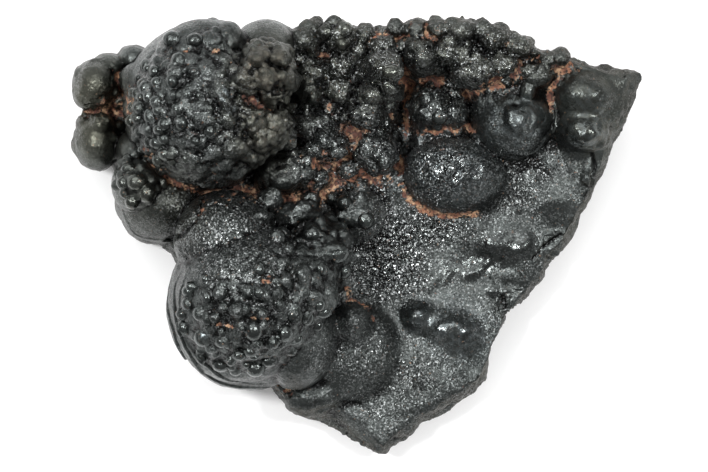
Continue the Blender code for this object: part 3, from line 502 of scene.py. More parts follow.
# The plate's own long swells
ROLLING = areas(
    (20.0, -12.0, 19.0, 20.0), (28.0, 6.0, 13.0, 9.0, 1.0, 20.0),
)

# Where the domes run out softly into the plate round them
FILLETS = areas(
    (19.0, -12.0, 19.0, 17.0), (29.0, 2.0, 12.0, 8.0, 1.0, 20.0), (37.6, 17.5, 8.0, 10.0, 0.8),
    (2.0, -20.0, 9.0, 9.0, 0.8),
)

# Domes that run out softly all round
MELTED = areas(
    (17.0, -15.4, 5.5, 5.0, 1.0, -12.0), (25.4, -1.2, 9.0, 6.5),
)

# Small rises, as high in millimetres as their strength
BUMPS = areas(
    (25.2, 19.0, 2.0, 2.3, 0.3), (24.6, 20.2, 0.8, 0.8, 0.45), (26.2, 19.3, 0.9, 0.7, 0.45),
    (25.0, 18.0, 0.9, 0.8, 0.45), (26.8, 17.4, 0.6, 0.9, 0.3), (13.6, -14.9, 1.8, 1.6, 0.7),
    (16.9, -15.3, 1.8, 1.6, 0.7), (9.9, -12.9, 2.1, 1.8), (22.4, -1.4, 1.8, 1.5, 0.55),
    (27.0, -1.7, 1.8, 1.4, 0.45), (22.3, -8.8, 1.0, 0.9, 0.6), (19.2, -6.0, 1.3, 0.7, 0.35, 20.0),
    (24.0, -6.2, 1.6, 0.9, 0.4, 15.0), (33.0, 5.4, 2.0, 1.5, 0.25),
    (12.2, 10.6, 1.5, 0.9, 0.25, 30.0), (14.4, 9.2, 0.7, 2.2, 0.4, -28.0),
    (15.6, 11.2, 0.6, 2.0, 0.4, -24.0), (17.0, 9.6, 0.6, 2.3, 0.45, -28.0),
    (18.1, 10.6, 0.5, 1.6, 0.35, -30.0), (19.6, 9.2, 1.3, 1.2, 0.45), (35.4, 17.0, 1.1, 1.2, 0.4),
    (37.8, 16.8, 1.1, 1.2, 0.4),
)

# Crowns where the skin is glossy
GLOSSY = areas(
    (15.2, -15.0, 3.8, 2.4, 1.0, -12.0), (10.0, -12.9, 2.8, 2.4), (24.6, -1.4, 4.6, 2.2),
    (22.3, -8.8, 1.2, 1.1), (19.0, -5.0, 8.0, 2.4, 0.7, 18.0), (17.2, 9.8, 4.2, 2.8, 0.8, -6.0),
    (25.2, 19.0, 2.4, 2.4, 0.55), (36.8, 16.6, 3.6, 2.2, 0.7), (36.4, 21.6, 2.8, 1.5, 0.7),
    (4.6, 25.2, 2.4, 2.8), (10.6, 29.4, 2.0, 2.4, 0.7),
)

# Where the crystal crust sparkles, and how much
DRUSE = areas(
    (22.0, -6.0, 18.0, 24.0, 0.24), (6.0, -3.0, 6.5, 8.0), (11.0, 1.0, 8.0, 3.5, 0.9),
    (24.0, 9.0, 10.0, 7.0, 0.45, 20.0), (13.8, 11.0, 7.0, 6.0, 0.7),
    (8.0, -24.0, 16.0, 9.0, 0.32, 20.0), (-0.8, -18.8, 8.3, 7.0, 0.4),
    (-20.0, -0.4, 11.5, 9.5, 0.6, -8.0), (-24.0, 20.0, 11.0, 12.0, 0.26),
    (-15.0, -10.0, 12.0, 12.0, 0.26), (0.0, 14.0, 11.0, 10.0, 0.62), (0.0, 28.0, 10.0, 7.0, 0.55),
    (14.0, 22.0, 6.0, 5.0, 0.62), (20.0, 28.5, 12.0, 6.0, 0.48),
)

# Loose crystals: name, area, spacing, smallest and largest radius
CRUSTS = (
    Crust("druse_valley", Area(8.5, -2.0, 12.0, 9.5), 0.27, 0.10, 0.19),
    Crust("druse_plate", Area(10.0, -23.0, 26.0, 13.0, 1.2), 0.38, 0.06, 0.10),
    Crust("druse_ridge", Area(2.0, 22.0, 26.0, 16.0, 1.2), 0.40, 0.07, 0.13),
    Crust("druse_mounds", Area(-21.0, 5.0, 16.0, 30.0, 1.15), 0.37, 0.05, 0.09),
)

LOWEST_CRYSTAL = 5.0      # crystals are sown only above this height
CLEAN_RUST = 0.3          # and where there is less rust than this
CRUST_GAIN = 1.4          # how fast they crowd as the crust grows stronger
CRUST_LEAST = 0.3         # how much of that goes before the first of them
CRYSTAL_SINK = 0.2        # how deep they lie, as a share of their radius
CRYSTAL_UNEVEN = (0.7, 1.2)  # half axes of a crystal, as shares of its radius

# Where the grape clusters are frosted, from FROST_FROM up to full strength at FROST_FULL
FROST_FROM = 14.4
FROST_FULL = 26.4
FROST = areas(
    (-14.6, 26.4, 4.8, 5.0), (-14.6, 16.0, 4.6, 5.0, 0.6),
)

# Where the stone is tinged with olive
WARM = areas(
    (-42.0, 20.0, 6.0, 9.0), (-31.0, 5.0, 8.0, 8.0, 0.6), (-14.5, 21.0, 7.0, 12.0, 0.8),
    (-2.0, 27.0, 12.0, 9.0, 0.7), (20.0, 29.0, 14.0, 6.0, 0.6, -6.0), (38.0, 20.0, 7.0, 8.0, 0.6),
)

# Where the stone is darker and less crusted: partly dull ore, partly painted shade on the flanks
# and tops of some domes and lumps
DULL_AND_PAINTED_SHADE = areas(
    (20.5, -4.5, 9.5, 6.0, 0.4, 15.0), (-5.0, 1.0, 7.0, 7.0, 0.6), (-28.5, -10.0, 4.5, 14.0, 0.9),
    (-17.0, -25.0, 13.0, 4.5, 0.9), (-24.0, 31.5, 11.0, 4.0, 0.6), (-33.5, 3.0, 5.0, 9.0, 0.6),
    (25.2, -0.4, 6.8, 4.6, 0.4), (31.5, 3.5, 7.5, 7.0, 0.35, 40.0), (37.2, 22.2, 6.0, 4.0, 0.45),
    (37.0, 16.8, 5.0, 3.4, 0.55), (27.0, 18.4, 7.0, 7.0, 0.3), (22.0, 8.0, 3.0, 5.0, 0.3, 20.0),
    (19.0, -20.0, 4.0, 5.0, 0.8), (12.0, -26.0, 5.0, 3.0, 0.6, 35.0),
)

# Pale bluish spots, and domes with a faint pale bloom that is partly painted light lifting their
# dark flanks
BLOOM_AND_PAINTED_LIGHT = areas(
    (15.9, -15.2, 6.2, 4.8, 0.3, -12.0), (10.0, -13.0, 3.2, 2.9, 0.35),
    (14.6, 10.6, 8.6, 6.8, 0.45, -6.0), (25.6, 17.8, 6.5, 6.5, 0.25), (36.8, 17.5, 5.5, 6.5, 0.2),
    (-20.6, 22.2, 1.0, 1.3, 1.0, 10.0), (-19.8, 20.0, 0.9, 0.7, 0.7),
    (-24.2, -15.9, 0.7, 0.6, 0.9),
)

# Waves of the surface: height and wavelength in millimetres, and a shift of the noise
SWELL = ((0.24, 5.0, 0.0), (0.08, 1.7, 3.1))
CRINKLE = ((0.035, 0.9, 7.7),)
FOLDS = ((1.6, 1.7, 6.3), (0.9, 0.85, 3.7))
FOLD_HEIGHT = 0.34
KNOTS = ((0.80, 2.9, 8.8), (0.36, 1.3, 2.9))
ROLLS = ((0.75, 7.5, 5.5), (0.20, 2.2, 4.6))
CRUMBS = ((0.35, 0.7, 4.4),)
CRUMBLY_RUST = 0.25       # rust stronger than this is crumbly
BREAK = ((0.50, 2.6, 5.2),)
BREAK_GRIT = ((0.25, 0.9, 1.4),)
RUST_PATCHES = ((0.55, 1.1, 9.3), (0.40, 3.5, 2.2))
RUST_EDGE = ((0.9, 3.2, 6.6),)

# Which way a normal points: its upward share
UPWARD = 0.2
NOT_UNDER = -0.3

# The broken faces: where a measure ends, and over how much it fades before that
WALL_DEPTH = (5.0, 2.0)   # distance in from the outline
WALL_TOP = (11.0, 3.0)    # height of the part that the mounds on the left leave bare
WALL_HIDDEN = (12.0, 3.0)  # how far to the left of the middle the whole wall is bare
WALL_STEEP = (0.75, 0.3)  # upward share of the normal
UNDER_STEEP = (-0.4, 0.3)  # the same for the underside
HIDDEN_SHARE = 0.5        # how broken the low part of the hidden wall is


# Heights and distances

def blended(spots, x, y):
    """Height between spot heights, each felt most close to it, in millimetres."""
    total = weight = 0.0
    for spot_x, spot_y, height in spots:
        reach = ((x - spot_x) ** 2 + (y - spot_y) ** 2) / SPOT_REACH**2
        share = math.exp(-reach) + 1e-6
        total += share * height
        weight += share
    return total / weight


def distance_to_route(route, points):
    """Distance in plan from each point to the nearest leg of a route."""
    nearest = np.full(len(points), np.inf)
    for start, end in zip(route, route[1:]):
        start = np.array(start)
        leg = np.array(end) - start
        share = np.clip((points - start) @ leg / (leg @ leg), 0.0, 1.0)
        away = np.linalg.norm(points - start - share[:, None] * leg, axis=1)
        nearest = np.minimum(nearest, away)
    return nearest


def ground(x, y):
    """Height of the slab's top, in millimetres."""
    height = blended(GROUND, x, y)
    for crease in CREASES:
        away = distance_to_route(crease.route, np.array([[x, y]]))[0]
        height -= crease.depth * math.exp(-((away / crease.width) ** 2))
    return height


def in_ellipse(area, points):
    """How far out each plan point lies in a turned ellipse: under 1 is inside."""
    turn = math.radians(-area.turn)
    dx = points[:, 0] - area.x
    dy = points[:, 1] - area.y
    across = (dx * math.cos(turn) - dy * math.sin(turn)) / area.wide
    along = (dx * math.sin(turn) + dy * math.cos(turn)) / area.deep
    return across**2 + along**2


def strength(table, points):
    """The strongest of some soft-edged areas at each plan point.

    An area is at full strength over its inner half and fades out a third past its edge.
    """
    found = np.zeros(len(points))
    for area in table:
        inside = np.clip(1.6 - np.sqrt(in_ellipse(area, points)) * 1.2, 0.0, 1.0)
        found = np.maximum(found, inside * area.strength)
    return found


def noise_at(points, size, shift=0.0):
    """Smooth noise from -1 to 1 at points in metres, of a wavelength in millimetres."""
    spots = points / (size * MM) + shift
    return np.array([noise.noise(Vector(spot)) for spot in spots])


def waves(points, layers):
    """The sum of some layers of noise, each with its height, wavelength and shift."""
    return sum(height * noise_at(points, size, shift) for height, size, shift in layers)


def folds_at(points):
    """Noise in long folds that run one way in plan, from about -1 to 1."""
    turn = np.array(Matrix.Rotation(math.radians(-FOLD_DIRECTION), 3, "Z"))
    turned = points @ turn.T
    turned[:, 0] /= FOLD_STRETCH
    return waves(turned, FOLDS)


def crack_share(plan):
    """How far into a fine crack each plan point is, from 0 to 1, and the cracks' depth."""
    share = np.zeros(len(plan))
    depth = np.zeros(len(plan))
    for crack in CRACKS:
        here = np.exp(-((distance_to_route(crack.route, plan) / crack.width) ** 2))
        share = np.maximum(share, here)
        depth = np.maximum(depth, crack.depth * here)
    return share, depth


# Building with arrays of corners and faces

def ball(fineness):
    """Corners and triangles of a unit ball."""
    shape = bmesh.new()
    bmesh.ops.create_icosphere(shape, subdivisions=fineness, radius=1.0)
    corners = np.array([v.co for v in shape.verts])
    faces = np.array([[v.index for v in f.verts] for f in shape.faces])
    shape.free()
    return corners, faces


def copies(template, matrices, centres):
    """One mesh of a template repeated: each copy is turned and sized, then moved."""
    corners, faces = template
    count = len(centres)
    placed = np.einsum("nij,vj->nvi", matrices, corners) + centres[:, None, :]
    steps = np.arange(count)[:, None, None] * len(corners)
    return placed.reshape(-1, 3), (faces[None] + steps).reshape(-1, faces.shape[1])


def joined(parts):
    """Several (corners, faces) pairs as one, all of triangles."""
    all_corners, all_faces, start = [], [], 0
    for corners, faces in parts:
        all_corners.append(corners)
        all_faces.append(faces + start)
        start += len(corners)
    return np.concatenate(all_corners), np.concatenate(all_faces)


def mesh_from(name, corners, faces):
    mesh = bpy.data.meshes.new(name)
    sides = faces.shape[1]
    mesh.vertices.add(len(corners))
    mesh.vertices.foreach_set("co", corners.astype(np.float32).ravel())
    mesh.loops.add(faces.size)
    mesh.loops.foreach_set("vertex_index", faces.astype(np.int32).ravel())
    mesh.polygons.add(len(faces))
    mesh.polygons.foreach_set("loop_start", np.arange(0, faces.size, sides, dtype=np.int32))
    mesh.update(calc_edges=True)
    return mesh


def linked(name, mesh):
    piece = bpy.data.objects.new(name, mesh)
    bpy.context.scene.collection.objects.link(piece)
    return piece


def corners_of(mesh):
    found = np.empty(len(mesh.vertices) * 3, np.float32)
    mesh.vertices.foreach_get("co", found)
    return found.reshape(-1, 3).astype(float)


def normals_of(mesh):
    found = np.empty(len(mesh.vertices) * 3, np.float32)
    mesh.vertex_normals.foreach_get("vector", found)
    return found.reshape(-1, 3).astype(float)


def triangles_of(mesh):
    mesh.calc_loop_triangles()
    found = np.empty(len(mesh.loop_triangles) * 3, np.int32)
    mesh.loop_triangles.foreach_get("vertices", found)
    return found.reshape(-1, 3)


def fused(corners, faces, step, relax):
    """One skin round overlapping closed shapes, on a grid of step millimetres."""
    body = linked("growth", mesh_from("growth", corners, faces))
    skin = body.modifiers.new("fuse", "REMESH")
    skin.mode = "VOXEL"
    skin.voxel_size = step * MM
    smooth = body.modifiers.new("relax", "SMOOTH")
    smooth.factor = 0.5
    smooth.iterations = relax
    made = evaluated(body)
    bpy.data.objects.remove(body)
    return made


def evaluated(body):
    graph = bpy.context.evaluated_depsgraph_get()
    return bpy.data.meshes.new_from_object(body.evaluated_get(graph))


def thinned(mesh, faces):
    """The mesh with about that many triangles, kept where it curves most."""
    body = linked("thinning", mesh)
    thin = body.modifiers.new("thin", "DECIMATE")
    thin.ratio = min(1.0, faces / len(triangles_of(mesh)))
    made = evaluated(body)
    bpy.data.objects.remove(body)
    return made


def softened(mesh, table, rounds):
    """Softens the skin inside some areas, away from the slab's edge."""
    body = linked("softening", mesh)
    plan = corners_of(mesh)[:, :2] / MM
    inner = np.clip((edge_distance(plan) - FIRM_EDGE) / FIRM_FADE, 0.0, 1.0)
    share = strength(table, plan) * inner
    group = body.vertex_groups.new(name="soft")
    for level in np.unique(np.round(share, 1)):
        members = np.flatnonzero(np.round(share, 1) == level)
        group.add(members.tolist(), float(level), "REPLACE")
    smooth = body.modifiers.new("soften", "SMOOTH")
    smooth.factor = 0.5
    smooth.iterations = round(rounds * (FINEST_STEP / SKIN_STEP) ** 2)
    smooth.vertex_group = "soft"
    made = evaluated(body)
    bpy.data.objects.remove(body)
    return made


# The growth

def inward(ring):
    """The direction into the slab at each corner of a ring."""
    found = []
    for index, here in enumerate(ring):
        along = ring[(index + 1) % len(ring)] - ring[index - 1]
        found.append(Vector((-along.y, along.x)).normalized())
    return found


def slab_face(mesh, rim, height_at):
    """Fills a rim of points with a net of triangles that follows height_at."""
    corners = [Vector((v.co.x, v.co.y)) for v in rim]
    low_x, high_x = min(c.x for c in corners), max(c.x for c in corners)
    low_y, high_y = min(c.y for c in corners), max(c.y for c in corners)
    points = list(corners)
    step = SLAB_GRID * MM
    for row in range(int((high_y - low_y) / step)):
        for column in range(int((high_x - low_x) / step)):
            points.append(Vector((low_x + (column + 0.5) * step, low_y + (row + 0.5) * step)))
    ring = [list(range(len(corners)))]
    inside_only = 1
    made, _, faces, origin, _, _ = delaunay_2d_cdt(points, [], ring, inside_only, 1e-6)
    placed = []
    for spot, came_from in zip(made, origin):
        on_rim = [i for i in came_from if i < len(rim)]
        if on_rim:
            placed.append(rim[on_rim[0]])
        else:
            height = height_at(spot.x / MM, spot.y / MM) * MM
            placed.append(mesh.verts.new((spot.x, spot.y, height)))
    for face in faces:
        mesh.faces.new([placed[i] for i in face])


def slab():
    """The broken slab: an uneven top, a ragged wall and an underside that draws in."""
    mesh = bmesh.new()
    shake = random.Random(SEED)
    widest = [Vector((x, y)) * MM for x, y, _ in OUTLINE]
    upper, waist, lower = [], [], []
    for (_, _, wall), corner, way in zip(OUTLINE, widest, inward(widest)):
        rim = corner + way * wall * MM
        foot = corner + way * (FOOT_INSET + shake.uniform(-FOOT_SHAKE, FOOT_SHAKE)) * MM
        top = ground(rim.x / MM, rim.y / MM)
        low = blended(UNDERSIDE, foot.x / MM, foot.y / MM)
        low += shake.uniform(-LOW_SHAKE, LOW_SHAKE)
        share = WAIST_SHARE + shake.uniform(-WAIST_SHAKE, WAIST_SHAKE)
        middle = low + (top - low) * share
        upper.append(mesh.verts.new((rim.x, rim.y, top * MM)))
        waist.append(mesh.verts.new((corner.x, corner.y, middle * MM)))
        lower.append(mesh.verts.new((foot.x, foot.y, low * MM)))
    for above, below in ((upper, waist), (waist, lower)):
        for i in range(len(widest)):
            j = (i + 1) % len(widest)
            mesh.faces.new((above[i], below[i], below[j], above[j]))
    slab_face(mesh, upper, ground)
    slab_face(mesh, lower, lambda x, y: blended(UNDERSIDE, x, y))
    bmesh.ops.triangulate(mesh, faces=mesh.faces[:])
    mesh.verts.index_update()
    corners = np.array([v.co for v in mesh.verts])
    faces = np.array([[v.index for v in f.verts] for f in mesh.faces])
    mesh.free()
    return corners, faces


def lobes():
    """Every lobe as a ball stretched to its half axes."""
    matrices, centres = [], []
    for lobe in LOBES.values():
        turn = Matrix.Rotation(math.radians(lobe.turn), 3, "Z")
        size = Matrix.Diagonal((lobe.wide * MM, lobe.deep * MM, lobe.tall * MM))
        matrices.append(np.array(turn @ size))
        centres.append((lobe.x * MM, lobe.y * MM, (lobe.top - lobe.tall) * MM))
    return copies(ball(LOBE_FINENESS), np.array(matrices), np.array(centres))


class Sower:
    """Picks evenly spaced places on a surface, at random but the same each run."""

    def __init__(self, mesh, seed):
        self.corners = corners_of(mesh)
        self.triangles = triangles_of(mesh)
        self.normals = normals_of(mesh)
        points = self.corners[self.triangles]
        cross = np.cross(points[:, 1] - points[:, 0], points[:, 2] - points[:, 0])
        self.areas = np.linalg.norm(cross, axis=1) / 2
        self.middles = points.mean(axis=1)
        self.draw = np.random.default_rng(seed)
        self.taken = {}

    def places(self, share, spacing, effort=5.0):
        """Points and normals where share, one number per triangle, allows them.

        effort is how many tries are made for each square of the spacing.
        """
        weight = self.areas * share
        tries = int(weight.sum() / (spacing * MM) ** 2 * effort)
        if tries == 0:
            return np.empty((0, 3)), np.empty((0, 3))
        chosen = self.draw.choice(len(weight), tries, p=weight / weight.sum())
        mix = self.draw.dirichlet((1.0, 1.0, 1.0), tries)
        index = self.triangles[chosen]
        points = np.einsum("nk,nkj->nj", mix, self.corners[index])
        normals = np.einsum("nk,nkj->nj", mix, self.normals[index])
        normals /= np.linalg.norm(normals, axis=1)[:, None]
        kept = [i for i, point in enumerate(points) if self.free(point, spacing)]
        return points[kept], normals[kept]

    def free(self, point, spacing):
        """Claims a point unless another lies within spacing of it."""
        cell = tuple(np.floor(point / (spacing * MM)).astype(int))
        taken = self.taken.setdefault(spacing, {})
        for dx in (-1, 0, 1):
            for dy in (-1, 0, 1):
                for dz in (-1, 0, 1):
                    for other in taken.get((cell[0] + dx, cell[1] + dy, cell[2] + dz), ()):
                        if ((point - other) ** 2).sum() < (spacing * MM) ** 2:
                            return False
        taken.setdefault(cell, []).append(point)
        return True


def surface_height(x, y):
    """Height of the slab or of the tallest lobe over a plan point, in millimetres."""
    height = ground(x, y)
    here = np.array([[x, y]])
    for lobe in LOBES.values():
        out = in_ellipse(lobe, here)[0]
        if out < 1.0:
            height = max(height, lobe.top - lobe.tall + lobe.tall * math.sqrt(1.0 - out))
    return height


def crowd_lumps():
    """Middles and radii of the lumps scattered on the slab, clear of the lobes' tops."""
    dice = random.Random(SEED)
    centres, radii = [], []
    for crowd in CROWDS:
        reach = max(crowd.wide, crowd.deep)
        for _ in range(CROWD_TRIES):
            x = crowd.x + dice.uniform(-reach, reach)
            y = crowd.y + dice.uniform(-reach, reach)
            radius = dice.uniform(crowd.small, crowd.large)
            if in_ellipse(crowd, np.array([[x, y]]))[0] > 1.0:
                continue
            floor = ground(x, y)
            spot = Vector((x, y, floor + LUMP_RISE * radius))
            crowded = any((spot - other / MM).length < crowd.spacing for other in centres)
            if crowded or surface_height(x, y) > floor + CLEAR_OF_LOBES:
                continue
            centres.append(spot * MM)
            radii.append(radius * MM)
    return centres, radii


def nodules(base):
    """The named nodules, the crowded lumps and the scattered buds, as uneven balls.

    Gives each ball's half axes as a matrix, its middle, its outward direction, and
    whether it stands proud.
    """
    centres, radii = crowd_lumps()
    proud = [False] * len(centres)
    for x, y, radius in NODULES:
        centres.append(Vector((x, y, surface_height(x, y) - NODULE_SINK * radius)) * MM)
        radii.append(radius * MM)
        proud.append(True)
    outward = [Vector((0.0, 0.0, 1.0))] * len(centres)
    sower = Sower(base, SEED)
    plan = sower.middles[:, :2] / MM
    height = sower.middles[:, 2] / MM
    for cover in COVERS:
        share = (in_ellipse(cover, plan) < 1.0) & (height > cover.above)
        points, normals = sower.places(share.astype(float), cover.spacing)
        size = sower.draw.uniform(cover.small, cover.large, len(points)) * MM
        centres.extend(points - normals * (size * cover.sink)[:, None])
        radii.extend(size)
        outward.extend(normals)
        proud.extend([cover.sink < PROUD_SINK] * len(points))
    stretch = sower.draw.uniform(*UNEVEN, (len(radii), 3)) * np.array(radii)[:, None]
    matrices = stretch[:, :, None] * np.eye(3)[None]
    return matrices, np.array(centres), np.array(outward), np.array(proud)


def ledge_height(plan):
    """Height of the shell ledges at plan points, in millimetres."""
    height = np.zeros(len(plan))
    for ledge in LEDGES:
        away = plan - (ledge.x, ledge.y)
        radius = np.linalg.norm(away, axis=1)
        turned = np.degrees(np.arctan2(away[:, 1], away[:, 0])) - ledge.facing
        off = np.abs((turned + 180.0) % 360.0 - 180.0)
        share = np.clip(LEDGE_END - off / ledge.spread, 0.0, 1.0)
        share *= (radius > ledge.inner) & (radius < ledge.outer)
        wavy = radius + LEDGE_WAVE * np.sin(np.radians(turned) * LEDGE_WAVES + ledge.x)
        step = 1.0 - (wavy / ledge.spacing) % 1.0
        height = np.maximum(height, ledge.height * share * step)
    return height


def bump_height(plan):
    """Height of the small rises at plan points, in millimetres."""
    height = np.zeros(len(plan))
    for bump in BUMPS:
        height += bump.strength * np.exp(-in_ellipse(bump, plan))
    return height


def relief(corners, normals):
    """How far the surface moves out at each point, in metres along its normal.

    It is made of swells, knots, ledges, puckers, cracks and broken walls.
    """
    plan = corners[:, :2] / MM
    up = normals[:, 2] > UPWARD
    not_under = normals[:, 2] > NOT_UNDER
    broken = waves(corners, BREAK) + waves(corners, BREAK_GRIT) * not_under
    offset = waves(corners, SWELL) + waves(corners, CRINKLE) * not_under
    offset += broken * wall_share(corners, normals)
    offset += FOLD_HEIGHT * folds_at(corners) * strength(WRINKLES, plan) * up
    offset += waves(corners, KNOTS) * strength(RUGGED, plan)
    offset += waves(corners, ROLLS) * strength(ROLLING, plan)
    offset += waves(corners, CRUMBS) * (stain_strength(plan) > CRUMBLY_RUST)
    offset -= crack_share(plan)[1] * up
    return (offset + ledge_height(plan) + bump_height(plan) * up) * MM


def roughened(mesh):
    """Moves the skin in and out by its relief."""
    corners = corners_of(mesh)
    normals = normals_of(mesh)
    corners += normals * relief(corners, normals)[:, None]
    mesh.vertices.foreach_set("co", corners.astype(np.float32).ravel())
    mesh.update()


def edge_distance(plan):
    """Distance in plan from each point to the slab's outline."""
    rim = [(x, y) for x, y, _ in OUTLINE]
    return distance_to_route(rim + rim[:1], plan)


def fading(values, end, span):
    """Falls from 1 to 0 over the last span before end."""
    return np.clip((end - values) / span, 0.0, 1.0)


def wall_share(corners, normals):
    """How much of a broken face each point is: the wall and the underside."""
    plan = corners[:, :2] / MM
    near = fading(edge_distance(plan), *WALL_DEPTH)
    low = fading(corners[:, 2] / MM, *WALL_TOP)
    right = fading(-plan[:, 0], *WALL_HIDDEN)
    steep = fading(normals[:, 2], *WALL_STEEP)
    under = fading(normals[:, 2], *UNDER_STEEP)
    return np.maximum(under, near * steep * np.maximum(right, low * HIDDEN_SHARE))


def cut_foot(mesh):
    """Cuts the underside flat and sets the piece where the solid lies."""
    shape = bmesh.new()
    shape.from_mesh(mesh)
    bmesh.ops.translate(shape, verts=shape.verts, vec=(0.0, 0.0, -FOOT_CUT * MM))
    everything = shape.verts[:] + shape.edges[:] + shape.faces[:]
    bmesh.ops.bisect_plane(
        shape, geom=everything, plane_co=(0, 0, 0), plane_no=(0, 0, -1), clear_outer=True
    )
    bmesh.ops.holes_fill(shape, edges=[e for e in shape.edges if e.is_boundary])
    bmesh.ops.triangulate(shape, faces=[f for f in shape.faces if len(f.verts) > 4])
    shape.to_mesh(mesh)
    shape.free()


def seated(mesh):
    """Moves the skin's middle over the solid's middle, and presses its foot flat.

    Gives how far it moved in plan.
    """
    low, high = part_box("goethite")
    corners = corners_of(mesh)
    corners[:, 2] = np.maximum(corners[:, 2], 0.0)
    shift = np.zeros(3)
    for axis in (0, 1):
        middle = (corners[:, axis].min() + corners[:, axis].max()) / 2
        shift[axis] = (low[axis] + high[axis]) / 2 - middle
    corners += shift
    mesh.vertices.foreach_set("co", corners.astype(np.float32).ravel())
    mesh.update()
    return shift


def hollowness(mesh, rounds):
    """How far each point lies below its neighbourhood, in millimetres."""
    corners = corners_of(mesh)
    edges = np.empty(len(mesh.edges) * 2, np.int32)
    mesh.edges.foreach_get("vertices", edges)
    one, other = edges[0::2], edges[1::2]
    count = len(corners)
    degree = np.bincount(one, minlength=count) + np.bincount(other, minlength=count)
    smooth = corners.copy()
    for _ in range(rounds):
        total = np.empty_like(smooth)
        for axis in range(3):
            total[:, axis] = np.bincount(one, smooth[other, axis], count)
            total[:, axis] += np.bincount(other, smooth[one, axis], count)
        smooth = total / degree[:, None]
    return ((smooth - corners) * normals_of(mesh)).sum(axis=1) / MM


def stored(mesh, name, values):
    """Keeps one number for each point of the mesh, for the material to read."""
    layer = mesh.attributes.new(name, "FLOAT", "POINT")
    layer.data.foreach_set("value", values.astype(np.float32))


def stain_strength(plan):
    """How rusty the plan points are by their distance from the stains' routes."""
    rust = np.zeros(len(plan))
    level = np.column_stack((plan, plan[:, :1] * 0.0)) * MM
    uneven = 1.0 + waves(level, RUST_EDGE)
    spots = [Stain(SPOT_WIDTH, SPOT_STRENGTH, ends) for ends in SPOTS]
    for stain in (*STAINS, *spots):
        away = distance_to_route(stain.route, plan)
        rust = np.maximum(rust, stain.strength * np.exp(-((away / stain.width / uneven) ** 2)))
    return rust


# How the marks follow the shape
FINE_ROUNDS = 4           # rounds of averaging that find small hollows
BROAD_ROUNDS = 40         # and broad ones
# How much painted shade each kind of hollow and the cracks put into the colour
FINE_SHADE = 2.6
RUGGED_SHADE = 1.8        # more where the growth is rugged
BROAD_SHADE = 0.45
FILLET_CALM = 0.8         # how much less at the foot of the low domes
CRACK_SHADE = 0.5
RUST_BASE = 0.35          # share of the rust on level ground
RUST_GATHER = 1.8         # how much more lies in hollows
# The crust is also thinned where the ore is painted darker with shade
DULL_AND_SHADE_CRUST = 0.6          # how much crust is missing where the ore is dull


def mark_skin(mesh):
    """Marks on each point how rusty, crusted, frosted, broken, tinged or glossy it is, the
    painted shade of its hollows and cracks, its dull ore and painted shade, and its pale bloom
    and painted light.
    """
    corners = corners_of(mesh)
    normals = normals_of(mesh)
    plan = corners[:, :2] / MM
    broad = hollowness(mesh, BROAD_ROUNDS)
    deep = np.clip(RUST_BASE + broad * RUST_GATHER, 0.0, 1.2)
    rust = stain_strength(plan) * (deep + waves(corners, RUST_PATCHES))
    rugged = strength(RUGGED, plan)
    # How far a point lies in a hollow or crack, which the colour darkens by as painted shade
    sunk = hollowness(mesh, FINE_ROUNDS) * (FINE_SHADE + RUGGED_SHADE * rugged)
    sunk = (sunk + broad * BROAD_SHADE) * (1.0 - FILLET_CALM * strength(FILLETS, plan))
    sunk += crack_share(plan)[0] * CRACK_SHADE
    # Dull ore, and painted shade on the flanks and tops of some domes and lumps
    dull_and_painted_shade = strength(DULL_AND_PAINTED_SHADE, plan)
    high = (corners[:, 2] / MM - FROST_FROM) / (FROST_FULL - FROST_FROM)
    crusted = strength(DRUSE, plan) * (1.0 - DULL_AND_SHADE_CRUST * dull_and_painted_shade)
    stored(mesh, "rust", np.clip(rust, 0.0, 1.0))
    stored(mesh, "druse", crusted * (normals[:, 2] > 0.0))
    stored(mesh, "frost", strength(FROST, plan) * np.clip(high, 0.0, 1.0))
    stored(mesh, "broken", wall_share(corners, normals))
    stored(mesh, "hollow_shade", np.clip(0.5 + sunk, 0.0, 1.0))
    stored(mesh, "warm", strength(WARM, plan))
    # Pale bluish spots and bloom, and painted light on some domes
    stored(mesh, "bloom_and_painted_light", strength(BLOOM_AND_PAINTED_LIGHT, plan))
    stored(mesh, "dull_and_painted_shade", dull_and_painted_shade)
    stored(mesh, "sleek", strength(GLOSSY, plan))
    stored(mesh, "knobbly", rugged)


# Materials

def new_material(name):
    material = bpy.data.materials.new(name)
    material.use_nodes = True
    tree = material.node_tree
    shader = tree.nodes["Principled BSDF"]
    return material, tree, shader


def node(tree, kind, **settings):
    made = tree.nodes.new("ShaderNode" + kind)
    for key, value in settings.items():
        setattr(made, key, value)
    return made


def attribute(tree, name):
    return node(tree, "Attribute", attribute_name=name).outputs["Fac"]


def mixed(tree, share, one, other):
    """A colour between one and other, each a colour or a socket."""
    blend = node(tree, "Mix", data_type="RGBA")
    connect(tree, share, blend.inputs[0])
    connect(tree, one, blend.inputs[6])
    connect(tree, other, blend.inputs[7])
    return blend.outputs[2]


def connect(tree, value, socket):
    """Links a socket, or sets a plain number or colour."""
    if isinstance(value, bpy.types.NodeSocket):
        tree.links.new(value, socket)
    elif isinstance(value, tuple) and len(value) == 3 and socket.type == "RGBA":
        socket.default_value = (*value, 1.0)
    else:
        socket.default_value = value


def calc(tree, operation, one, other=0.0, clamp=False):
    made = node(tree, "Math", operation=operation, use_clamp=clamp)
    connect(tree, one, made.inputs[0])
    connect(tree, other, made.inputs[1])
    return made.outputs[0]


def ranged(tree, value, low, high, new_low=0.0, new_high=1.0):
    """Maps low..high to new_low..new_high, held at the ends."""
    made = node(tree, "MapRange")
    connect(tree, value, made.inputs[0])
    made.inputs[1].default_value = low
    made.inputs[2].default_value = high
    made.inputs[3].default_value = new_low
    made.inputs[4].default_value = new_high
    return made.outputs[0]


def place(tree):
    return node(tree, "TexCoord").outputs["Object"]


